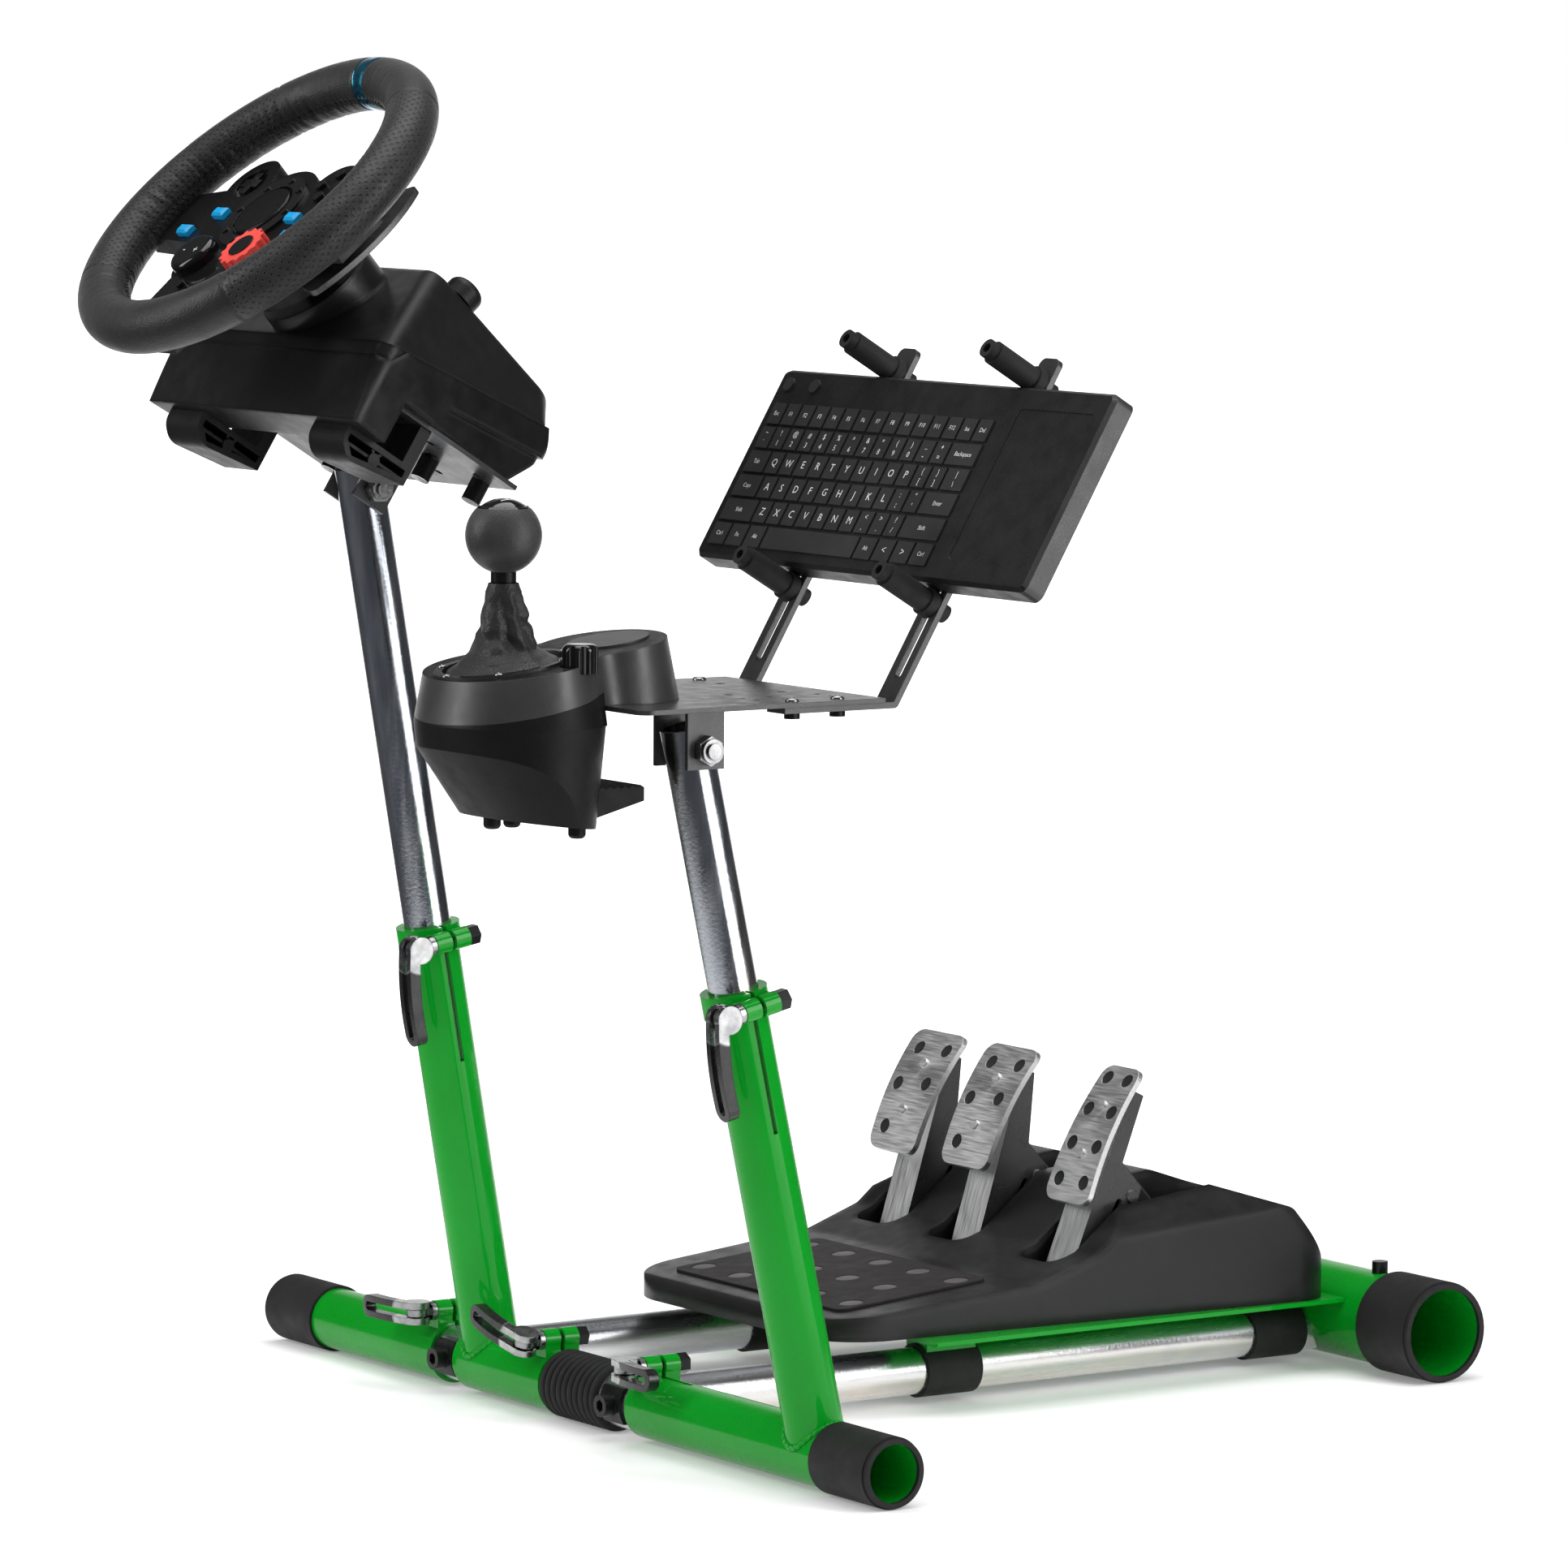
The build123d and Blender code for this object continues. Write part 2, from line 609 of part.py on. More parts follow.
def post_tube(x, lean, top):
    """Green post: coped onto its sleeve, with a slit collar and lugs at the top."""
    foot, end = post_point(x, lean, 0), post_point(x, lean, top)
    body = tube(POST_R, POST_BORE, foot, end)
    band = tube(POST_COLLAR_R, POST_R - 1, post_point(x, lean, top - POST_COLLAR_HEIGHT), end)
    frame = clamp_frame_on_post(x, lean, top)
    bore = rod(POST_BORE, foot, post_point(x, lean, top + POST_R))
    cope = rod(SLEEVE_R, (x - 3 * POST_R, 0, CROSS_Z), (x + 3 * POST_R, 0, CROSS_Z))
    lugged = body + band + (frame * lugs(POST_R) - bore)
    return lugged - frame * slit(POST_R, 1, SLIT_LENGTH) - cope


def mast(x, lean, pivot, top, inside):
    """Chrome mast, cross-drilled at its top for the tilt bolt."""
    body = tube(CHROME_R, CHROME_R - CHROME_WALL, post_point(x, lean, top - inside),
                post_point(x, lean, pivot + MAST_OVER_PIVOT))
    y, z = along_post(lean, pivot)
    hole = rod(TILT_BOLT_R + PIN_CLEARANCE, (x - 2 * CHROME_R, y, z), (x + 2 * CHROME_R, y, z))
    return body - hole


def ears():
    """Pair of bracket ears below a plate, about its tilt bolt at the local origin."""
    pair = []
    for side in (-1, 1):
        x_span = sorted((side * EAR_GAP, side * (EAR_GAP + EAR_THICK)))
        plate = block(x_span, (-EAR_WIDTH / 2, EAR_WIDTH / 2), (-EAR_BELOW, PIVOT_TO_PLATE))
        pair.append(plate)
    reach = EAR_GAP + 2 * EAR_THICK
    bore = rod(TILT_BOLT_R + PIN_CLEARANCE, (-reach, 0, 0), (reach, 0, 0))
    return pair[0] + pair[1] - bore


def tilt_bolt():
    """Cross bolt with a hexagon head and a lock nut outside the ears."""
    side = EAR_GAP + EAR_THICK
    collar = side + NUT_LENGTH
    shank = rod(TILT_BOLT_R, (-side, 0, 0), (collar + NUT_COLLAR + THREAD_END, 0, 0))
    head = hex_rod(NUT_R, (-side - NUT_LENGTH, 0, 0), (-side, 0, 0))
    nut = hex_rod(NUT_R, (side, 0, 0), (collar, 0, 0))
    insert = rod(NUT_COLLAR_R, (collar, 0, 0), (collar + NUT_COLLAR, 0, 0))
    return shank + head + nut + insert


def end_cap(outer, inner, bore, x_end, direction, length, y, z):
    """Rubber sleeve over a tube end, with a lip round the open bore."""
    start = (x_end - direction * length, y, z)
    sleeve_body = tube(outer, inner, start, (x_end, y, z))
    lip = tube(outer - 1, bore, (x_end, y, z), (x_end + direction * CAP_LIP, y, z))
    return sleeve_body + lip


def socket_bolt(x, cross_solid):
    """Socket-head bolt on a curved saddle washer, at the front of the crossbar."""
    face = -CROSS_TUBE_R - SOCKET_BOLT_HEAD
    head = rod(SOCKET_BOLT_R, (x, face, CROSS_Z), (x, SADDLE_BACK, CROSS_Z))
    head -= hex_rod(SOCKET_R, (x, face - 1, CROSS_Z), (x, face + SOCKET_DEPTH, CROSS_Z))
    half = SADDLE_WIDTH / 2
    outer = CROSS_TUBE_R + SADDLE_THICK
    saddle = rod(outer, (x - half, 0, CROSS_Z), (x + half, 0, CROSS_Z))
    saddle &= block((x - half, x + half), (-outer, SADDLE_BACK), (CROSS_Z - half, CROSS_Z + half))
    return head + saddle - cross_solid


def spacer_bellows():
    """Row of rubber rings on the crossbar, joined at their roots."""
    start, end = RING_SPAN
    step = (end - start) / RING_COUNT
    rings = rod(RING_MAJOR_R, (start, 0, CROSS_Z), (end, 0, CROSS_Z))
    for i in range(RING_COUNT):
        rings += Pos(start + (i + 0.5) * step, 0, CROSS_Z) * Rot(Y=90) * Torus(RING_MAJOR_R, RING_BEAD_R)
    return rings - rod(CROSS_TUBE_R, (start - step, 0, CROSS_Z), (end + step, 0, CROSS_Z))


def make_base():
    """Crossbar, long tubes, rear crossbar, caps, rings, collars and bolts."""
    cross_start, cross_end = CROSS_TUBE_SPAN
    cross_tube = tube(CROSS_TUBE_R, CROSS_TUBE_R - CHROME_WALL, (cross_start, 0, CROSS_Z), (cross_end, 0, CROSS_Z))
    cross_solid = rod(CROSS_TUBE_R, (cross_start, 0, CROSS_Z), (cross_end, 0, CROSS_Z))
    left_end = CROSS_LEFT + CAP_LIP
    left_sleeve = sleeve(left_end, LEFT_SLEEVE_END, LEFT_SLEEVE_END - LUG_INSET, -1)
    rear_left, rear_right = UNIT_X - REAR_HALF + CAP_LIP, UNIT_X + REAR_HALF - CAP_LIP
    rear = tube(REAR_R, REAR_R - REAR_WALL, (rear_left, REAR_Y, REAR_Z), (rear_right, REAR_Y, REAR_Z))
    rear_solid = rod(REAR_R, (rear_left, REAR_Y, REAR_Z), (rear_right, REAR_Y, REAR_Z))
    long_tubes, bolts, collars = [], [], []
    for x in LONG_TUBE_X:
        run = tube(CHROME_R, CHROME_R - CHROME_WALL, (x, LONG_TUBE_START, CROSS_Z), (x, REAR_Y, CROSS_Z))
        plug = rod(PLUG_R, (x, 0, CROSS_Z), (x, LONG_TUBE_START + PLUG_DEPTH, CROSS_Z))
        web = tube(CHROME_R - CHROME_WALL, PLUG_R, (x, LONG_TUBE_START, CROSS_Z),
                   (x, LONG_TUBE_START + PLUG_WEB, CROSS_Z))
        long_tubes.append(run + (plug - cross_solid) + web - rear_solid)
        bolts.append(socket_bolt(x, cross_solid))
        tail_y = REAR_Y - REAR_R - COLLAR_REAR_GAP
        for y in (COLLAR_FRONT_Y, tail_y - COLLAR_LENGTH):
            collars.append(tube(COLLAR_R, CHROME_R, (x, y, CROSS_Z), (x, y + COLLAR_LENGTH, CROSS_Z)))
    for x in (rear_left + REAR_BOLT_INSET, rear_right - REAR_BOLT_INSET):
        stud_top = REAR_Z + REAR_R + REAR_BOLT_HEAD
        bolts.append(rod(REAR_BOLT_R, (x, REAR_Y, REAR_Z), (x, REAR_Y, stud_top)) - rear_solid)
    cap_r = SLEEVE_R + CAP_WALL
    caps = [end_cap(cap_r, SLEEVE_R, SLEEVE_BORE, left_end, -1, CAP_LENGTH, 0, CROSS_Z)]
    rear_cap_r = REAR_R + REAR_CAP_WALL
    for x, direction in ((rear_left, -1), (rear_right, 1)):
        caps.append(end_cap(rear_cap_r, REAR_R, REAR_R - REAR_WALL, x, direction, REAR_CAP_LENGTH,
                            REAR_Y, REAR_Z))
    clamp = clamp_frame_on_sleeve(LEFT_SLEEVE_END - LUG_INSET)
    return {
        "cross_tube": cross_tube,
        "left_sleeve": left_sleeve,
        "long_tubes": Compound(long_tubes),
        "rear_crossbar": rear,
        "base_caps": Compound(caps),
        "frame_bolts": Compound(bolts),
        "spacer_rings": spacer_bellows(),
        "tube_collars": Compound(collars),
        "left_clamp_bolt": clamp * clamp_bolt(SLEEVE_R),
        "left_lever": clamp * cam_lever(SLEEVE_R, -1, SLEEVE_HANDLE),
    }


def make_main_post():
    """Centre sleeve, wheel post and mast, with their two cam clamps."""
    clamp_x = CENTRE_SLEEVE_END - LUG_INSET
    low = clamp_frame_on_sleeve(clamp_x)
    turned = low * turned_on_bolt(CENTRE_ROLL)
    high = clamp_frame_on_post(0, MAIN_LEAN, MAIN_POST_TOP)
    return {
        "centre_sleeve": sleeve(CENTRE_SLEEVE_START, CENTRE_SLEEVE_END, clamp_x, -1),
        "main_post_tube": post_tube(0, MAIN_LEAN, MAIN_POST_TOP),
        "main_clamp_bolts": Compound([turned * clamp_bolt(SLEEVE_R), high * clamp_bolt(POST_R)]),
        "centre_lever": turned * cam_lever(SLEEVE_R, -1, SLEEVE_HANDLE),
        "wheel_mast_lever": high * cam_lever(POST_R, 1, POST_HANDLE),
        "wheel_mast": mast(0, MAIN_LEAN, MAIN_PIVOT, MAIN_POST_TOP, MAIN_MAST_INSIDE),
    }


def make_side_post():
    """Right sleeve, second post and mast, with their two cam clamps."""
    clamp_x = RIGHT_SLEEVE_START + LUG_INSET
    low = clamp_frame_on_sleeve(clamp_x)
    high = clamp_frame_on_post(SIDE_POST_X, SIDE_LEAN, SIDE_POST_TOP)
    right_end = CROSS_RIGHT - CAP_LIP
    cap = end_cap(SLEEVE_R + CAP_WALL, SLEEVE_R, SLEEVE_BORE, right_end, 1, CAP_LENGTH, 0, CROSS_Z)
    return {
        "right_sleeve": sleeve(RIGHT_SLEEVE_START, right_end, clamp_x, 1),
        "right_cap": cap,
        "side_post_tube": post_tube(SIDE_POST_X, SIDE_LEAN, SIDE_POST_TOP),
        "side_clamp_bolts": Compound([low * clamp_bolt(SLEEVE_R), high * clamp_bolt(POST_R)]),
        "right_lever": low * cam_lever(SLEEVE_R, 1, SLEEVE_HANDLE),
        "side_mast_lever": high * cam_lever(POST_R, 1, POST_HANDLE),
        "side_mast": mast(SIDE_POST_X, SIDE_LEAN, SIDE_PIVOT, SIDE_POST_TOP, SIDE_MAST_INSIDE),
    }


def line_z(line, y):
    """Height at Y of the straight line through two (Y, Z) points."""
    (y0, z0), (y1, z1) = line
    return z0 + (z1 - z0) * (y - y0) / (y1 - y0)


def tapered_plan(front_half, rear_half, length, corner):
    """Outline from Y = 0 that narrows towards the rear, with rounded corners."""
    outline = Polygon((-front_half, 0), (front_half, 0), (rear_half, length), (-rear_half, length), align=None)
    return fillet(outline.vertices(), corner)


def sloping_plane(front, rear):
    """Frame with Y running from one (Y, Z) point to another, and the distance between them."""
    rise = degrees(atan2(rear[1] - front[1], rear[0] - front[0]))
    return Pos(0, *front) * Rot(X=rise), hypot(rear[0] - front[0], rear[1] - front[1])


def make_plate():
    """Drilled and slotted wheel plate on its two ears, and its bolts."""
    low, high = PIVOT_TO_PLATE - 1, PLATE_TOP_B + 1
    plate = block((-PLATE_HALF, PLATE_HALF), PLATE_Y, (PIVOT_TO_PLATE, PLATE_TOP_B))
    for x in PLATE_HOLES_X:
        for y in PLATE_HOLES_Y:
            plate -= rod(PLATE_HOLE_R, (x, y, low), (x, y, high))
    for x in PLATE_SLOTS_X:
        plate -= upright_prism(Pos(x, PLATE_SLOT_Y) * SlotOverall(*PLATE_SLOT), low, high)
    studs = [tilt_bolt()]
    for x, y in STANDOFFS:
        studs.append(rod(STANDOFF_R, (x, y, PIVOT_TO_PLATE - STANDOFF_LENGTH), (x, y, PIVOT_TO_PLATE)))
    return plate + ears(), Compound(studs)


def make_housing():
    """Wheel housing: a lower tray with recessed side panels and an upper hood with the shaft shroud."""
    front, back = HOUSING_Y
    seam = (SEAM_FRONT, SEAM_REAR)
    wide = HOUSING_FRONT_HALF + 1
    side = [(LIP_Y[0], LIP_BOTTOM), (LIP_Y[1], LIP_BOTTOM), (LIP_Y[1], PLATE_TOP_B), (HEEL_CUT_Y, PLATE_TOP_B),
            (back, HEEL_CUT_Z), SEAM_REAR, SEAM_FRONT]
    plan = Pos(0, front) * tapered_plan(HOUSING_FRONT_HALF, HOUSING_REAR_HALF, back - front, HOUSING_CORNER)
    z_span = (LIP_BOTTOM - 1, SEAM_REAR[1] + 1)
    lower = side_prism(side, -wide, wide) & upright_prism(plan, *z_span)
    panel_top = [line_z(seam, y) - PANEL_BELOW_SEAM for y in (PANEL_FRONT + PANEL_SLANT, back)]
    panel = side_prism([(PANEL_FRONT, LIP_BOTTOM), (PANEL_FRONT + PANEL_SLANT, panel_top[0]),
                        (back + 1, panel_top[1]), (back + 1, LIP_BOTTOM)], -wide, wide)
    lower -= panel - upright_prism(offset(plan, -PANEL_DEPTH), *z_span)
    step_front, step_back = SEAM_STEP_Y
    step = side_prism([(front - 1, SEAM_LOW), (step_front, SEAM_LOW), (step_back, line_z(seam, step_back)),
                       (step_back, SEAM_REAR[1]), (front - 1, SEAM_REAR[1])], -wide, wide)
    brow = lower & step & upright_prism(offset(plan, -BROW_INSET), *z_span)
    lower -= step
    seam_plane, seam_length = sloping_plane(SEAM_FRONT, SEAM_REAR)
    taper = (HOUSING_FRONT_HALF - HOUSING_REAR_HALF) / (back - front)
    seam_half = HOUSING_FRONT_HALF - taper * (SEAM_REAR[0] - front)
    crown_plane, crown_length = sloping_plane(CROWN_FRONT, CROWN_REAR)
    upper = loft([
        seam_plane * tapered_plan(HOUSING_FRONT_HALF, seam_half, seam_length, HOUSING_CORNER),
        crown_plane * tapered_plan(CROWN_FRONT_HALF, CROWN_REAR_HALF, crown_length, CROWN_CORNER),
    ], ruled=True)
    upper = fillet(upper.faces().sort_by(Axis.Z)[-1].edges(), CROWN_ROUND)
    wheel_in_unit = Pos(0, -WHEEL_FORWARD, WHEEL_RISE) * Rot(X=90 - WHEEL_AXIS_RISE)
    shroud = wheel_in_unit * rod(SHROUD_R, (0, 0, SHROUD_BACK), (0, 0, SHROUD_FRONT))
    tray_side = side_prism([(front - wide, LIP_BOTTOM - wide), (back, LIP_BOTTOM - wide),
                            (back, line_z(seam, back)), (front - wide, line_z(seam, front - wide))], -wide, wide)
    upper += shroud - tray_side
    upper += brow
    upper -= wheel_in_unit * rod(SHAFT_R + PIN_CLEARANCE, (0, 0, SHAFT_BACK - 1), (0, 0, 0))
    return lower, upper, crown_plane


def clamp_foot(side):
    """Hook under the front lip, pocketed from both sides, with a boss and ribs on its web."""
    front, back = FOOT_Y
    nose = FOOT_BOTTOM + FOOT_NOSE
    heel = FOOT_BOTTOM + FOOT_RAMP
    x_low, x_high = sorted((side * FOOT_X[0], side * FOOT_X[1]))
    hook = side_prism([(front, LIP_BOTTOM), (front, nose), (front + FOOT_NOSE, FOOT_BOTTOM), (back, heel),
                       (back, PIVOT_TO_PLATE), (back - FOOT_WALL, PIVOT_TO_PLATE), (back - FOOT_WALL, LIP_BOTTOM)],
                      x_low, x_high)
    nose_edges = [edge for edge in hook.edges().filter_by(Axis.X)
                  if edge.center().Y < front + FOOT_NOSE + 1 and edge.center().Z < nose + 1]
    hook = fillet(nose_edges, FOOT_ROUND)
    inner_top = LIP_BOTTOM - FOOT_RIM
    inset = [(front + FOOT_RIM, inner_top), (front + FOOT_RIM, nose + FOOT_RIM / 2),
             (front + FOOT_NOSE + FOOT_RIM / 2, FOOT_BOTTOM + FOOT_RIM), (back - FOOT_RIM, heel + FOOT_RIM),
             (back - FOOT_RIM, inner_top)]
    centre = ((front + back) / 2, (LIP_BOTTOM + FOOT_BOTTOM) / 2)
    pocket = side_prism(inset, x_low - 1, x_low + FOOT_POCKET)
    pocket += side_prism(inset, x_high - FOOT_POCKET, x_high + 1)
    pocket -= rod(FOOT_BOSS_R, (x_low, *centre), (x_high, *centre))
    for i in range(FOOT_RIBS):
        rib = block((x_low + 1, x_high - 1), (0, back - front), (-FOOT_RIB / 2, FOOT_RIB / 2))
        pocket -= Pos(0, *centre) * Rot(X=360 * i / FOOT_RIBS) * rib
    return hook - pocket


def make_wheel_unit():
    """Wheel plate with its bolts, the two-part housing and the clamps."""
    plate, studs = make_plate()
    lower, upper, crown_plane = make_housing()
    clamps = []
    for side in (-1, 1):
        clamps.append(clamp_foot(side))
        knob = rod(CLAMP_KNOB_R, (0, 0, 0), (0, 0, CLAMP_KNOB_HEIGHT))
        knob = fillet(knob.edges().sort_by(Axis.Z)[-1], CLAMP_KNOB_ROUND)
        clamps.append(crown_plane * Pos(side * CLAMP_KNOB_X, CLAMP_KNOB_Y, 0) * knob)
    return {
        "wheel_plate": UNIT_FRAME * plate,
        "wheel_plate_bolts": UNIT_FRAME * studs,
        "housing_lower": UNIT_FRAME * lower,
        "housing_upper": UNIT_FRAME * upper,
        "wheel_clamps": UNIT_FRAME * Compound(clamps),
    }


def paddle(side):
    """Shift paddle: a curved blade behind the rim on a root with its own hinge pin."""
    start, middle, end = PADDLE_OUTER
    blade = make_face([ThreePointArc(start, middle, end), Polyline(end, *PADDLE_INNER, start)])
    blade = fillet(blade.vertices(), PADDLE_CORNER)
    root_start, root_end = PADDLE_ROOT
    root = Pos((root_start + root_end) / 2, 0) * Rectangle(root_end - root_start, 2 * PADDLE_ROOT_HALF)
    z_low = PADDLE_Z - PADDLE_THICK / 2
    body = upright_prism(blade + root, z_low, z_low + PADDLE_THICK)
    knuckle = rod(PADDLE_PIN_R + PADDLE_KNUCKLE, (PADDLE_PIN_X, -PADDLE_ROOT_HALF, PADDLE_Z),
                  (PADDLE_PIN_X, PADDLE_ROOT_HALF, PADDLE_Z))
    pin = rod(PADDLE_PIN_R, (PADDLE_PIN_X, -PADDLE_PIN_HALF, PADDLE_Z),
              (PADDLE_PIN_X, PADDLE_PIN_HALF, PADDLE_Z))
    whole = body + knuckle + pin
    return whole if side > 0 else mirror(whole, about=Plane.YZ)


def make_hub(rim):
    """Hub: lobed face with three spokes, boss, shaft, trim ring, cap and the seats of dial and cross pad."""
    tip_low, tip_high = SPOKE_TIP
    side_spoke = Polygon((0, -SPOKE_ROOT), (RIM_R, tip_low), (RIM_R, tip_high), (0, SPOKE_ROOT), align=None)
    root_half, tip_half = LOW_SPOKE
    low_spoke = Polygon((-root_half, 0), (-tip_half, -RIM_R), (tip_half, -RIM_R), (root_half, 0), align=None)
    face = Circle(HUB_R) + side_spoke + mirror(side_spoke, about=Plane.YZ) + low_spoke
    for centre, radius in HUB_LOBES:
        face += Pos(*centre) * Circle(radius)
    hub = upright_prism(face, HUB_FACE - HUB_THICK, HUB_FACE)
    hub += rod(HUB_BOSS_R, (0, 0, HUB_BOSS_BACK), (0, 0, HUB_FACE - HUB_THICK))
    hub += rod(SHAFT_R, (0, 0, SHAFT_BACK), (0, 0, HUB_BOSS_BACK))
    ring_outer, ring_inner = TRIM_RING
    hub += tube(ring_outer, ring_inner, (0, 0, HUB_FACE), (0, 0, HUB_FACE + TRIM_RISE))
    cap = rod(CENTRE_CAP_R, (0, 0, HUB_FACE), (0, 0, HUB_FACE + CENTRE_CAP_RISE))
    hub += fillet(cap.edges().sort_by(Axis.Z)[-1], CENTRE_CAP_ROUND)
    hub += Pos(*DIAL_CENTRE, 0) * rod(DIAL_SPIGOT_R, (0, 0, HUB_FACE), (0, 0, HUB_FACE + DIAL_SPIGOT))
    hub -= Pos(*DPAD_CENTRE, 0) * rod(DISH_R, (0, 0, HUB_FACE - DISH_DEPTH), (0, 0, HUB_FACE + 1))
    pocket_z = (PADDLE_Z - POCKET_DEPTH, PADDLE_Z + POCKET_DEPTH)
    for side in (-1, 1):
        pocket_x = sorted((side * (PADDLE_PIN_X - POCKET_DEPTH), side * (HUB_BOSS_R + 1)))
        hub -= block(pocket_x, (-POCKET_HALF, POCKET_HALF), pocket_z)
        pin_x = side * PADDLE_PIN_X
        pin_reach = PADDLE_PIN_HALF + PIN_END_GAP
        hub -= rod(PADDLE_PIN_R + PIN_CLEARANCE, (pin_x, -pin_reach, PADDLE_Z), (pin_x, pin_reach, PADDLE_Z))
    return hub - rim


def make_hub_keys():
    """Round buttons, cross pad, small ring buttons, spoke buttons and the left knob."""
    x, y = ROUND_CLUSTER
    keys = []
    for place in PolarLocations(ROUND_CLUSTER_R, 4):
        keys.append(Pos(x, y, 0) * place * rod(ROUND_BUTTON_R, (0, 0, HUB_FACE), (0, 0, HUB_FACE + BUTTON_RISE)))
    cross = Rectangle(2 * DPAD_REACH, DPAD_WIDTH) + Rectangle(DPAD_WIDTH, 2 * DPAD_REACH)
    dish_floor = HUB_FACE - DISH_DEPTH
    keys.append(upright_prism(Pos(*DPAD_CENTRE) * cross, dish_floor, dish_floor + BUTTON_RISE))
    ring_top = HUB_FACE + TRIM_RISE
    for place in PolarLocations(sum(TRIM_RING) / 2, RING_BUTTONS):
        keys.append(place * rod(RING_BUTTON_R, (0, 0, ring_top), (0, 0, ring_top + RING_BUTTON_RISE)))
    for x, y in SPOKE_BUTTONS:
        keys.append(rod(SPOKE_BUTTON_R, (x, y, HUB_FACE), (x, y, HUB_FACE + BUTTON_RISE)))
    knob = rod(KNOB_R, (*KNOB_CENTRE, HUB_FACE), (*KNOB_CENTRE, HUB_FACE + KNOB_HEIGHT))
    keys.append(fillet(knob.edges().sort_by(Axis.Z)[-1], KNOB_ROUND))
    return Compound(keys)


def blue_button(x, y):
    """Low button with a chamfered top."""
    wide, tall, rise = BLUE_SIZE
    key = block((x - wide / 2, x + wide / 2), (y - tall / 2, y + tall / 2), (HUB_FACE, HUB_FACE + rise))
    return chamfer(key.faces().sort_by(Axis.Z)[-1].edges(), BLUE_CHAMFER)


def make_steering():
    """Rim, hub, buttons, dial and paddles."""
    rim = Torus(RIM_R, RIM_SECTION_R)
    ribbed = Circle(DIAL_R) + PolarLocations(DIAL_R, DIAL_RIBS) * Circle(DIAL_RIB_R)
    dial_low = HUB_FACE + FACE_GAP
    dial = upright_prism(ribbed - Circle(DIAL_SPIGOT_R + PIN_CLEARANCE), dial_low, dial_low + DIAL_HEIGHT)
    return {
        "rim": WHEEL_FRAME * rim,
        "hub": WHEEL_FRAME * make_hub(rim),
        "blue_buttons": WHEEL_FRAME * Compound([blue_button(x, y) for x, y in BLUE_BUTTONS]),
        "hub_keys": WHEEL_FRAME * make_hub_keys(),
        "selector_dial": WHEEL_FRAME * Pos(*DIAL_CENTRE, 0) * dial,
        "left_paddle": WHEEL_FRAME * paddle(-1),
        "right_paddle": WHEEL_FRAME * paddle(1),
    }


def make_deck_plate():
    """Drilled deck with rounded front corners, on its two ears."""
    deck_low = DECK_TOP - PLATE_THICK
    plate = block(DECK_X, (DECK_FRONT, DECK_BACK), (deck_low, DECK_TOP))
    corners = plate.edges().filter_by(Axis.Z).sort_by(Axis.Y)[:2]
    plate = fillet(corners, DECK_CORNER)
    wide, deep = DECK_HOLE_SPACING
    holes = [(DECK_HOLE_CENTRE[0] + i * wide / 2, DECK_HOLE_CENTRE[1] + j * deep / 2, DECK_HOLE_R)
             for i in (-1, 1) for j in (-1, 1)]
    holes += [(x, y, DECK_SMALL_R) for x in DECK_SMALL_X for y in DECK_SMALL_Y]
    for x, y, radius in holes:
        plate -= rod(radius, (x, y, deck_low - 1), (x, y, DECK_TOP + 1))
    return plate + Pos(SIDE_POST_X, SIDE_PIVOT_Y, SIDE_PIVOT_Z) * ears()


def keyboard_arm(x):
    """Flat bar bent up behind the deck, slotted along its riser."""
    deck_low = DECK_TOP - PLATE_THICK
    half = ARM_WIDTH / 2
    x_span = (x - half, x + half)
    past = (x - half - 1, x + half + 1)
    far = ARM_LENGTH
    foot = block(x_span, (ARM_FRONT, ARM_BEND_Y), (deck_low - ARM_THICK, deck_low))
    riser = block(x_span, (0, ARM_LENGTH), (-ARM_THICK, 0))
    riser = fillet(riser.edges().filter_by(Axis.Z).sort_by(Axis.Y)[-2:], ARM_END_ROUND)
    slot_end = ARM_LENGTH - ARM_SLOT_MARGIN
    slot = SlotOverall(slot_end - ARM_SLOT_START, ARM_SLOT_WIDTH, rotation=90)
    riser -= upright_prism(Pos(x, (ARM_SLOT_START + slot_end) / 2) * slot, -2 * ARM_THICK, ARM_THICK)
    knee = rod(ARM_THICK, (x - half, ARM_BEND_Y, deck_low), (x + half, ARM_BEND_Y, deck_low))
    knee -= block(past, (ARM_BEND_Y - far, ARM_BEND_Y + far), (deck_low, deck_low + far))
    knee -= ARM_FRAME * block(past, (-far, far), (0, far))
    return foot + knee + ARM_FRAME * riser


def keyboard_peg(x, y):
    """Rubber peg through an arm's slot, with a flange, a stepped hollow tip and a nut behind."""
    tip_start = PEG_LENGTH - PEG_TIP
    peg = rod(PEG_R, (x, y, 0), (x, y, tip_start)) + rod(PEG_TIP_R, (x, y, tip_start), (x, y, PEG_LENGTH))
    peg += rod(PEG_FLANGE_R, (x, y, 0), (x, y, PEG_FLANGE))
    peg -= rod(PEG_HOLE_R, (x, y, tip_start), (x, y, PEG_LENGTH + 1))
    peg += rod(ARM_SLOT_WIDTH / 2, (x, y, -ARM_THICK), (x, y, 0))
    return ARM_FRAME * (peg + rod(PEG_NUT_R, (x, y, -ARM_THICK - PEG_NUT), (x, y, -ARM_THICK)))


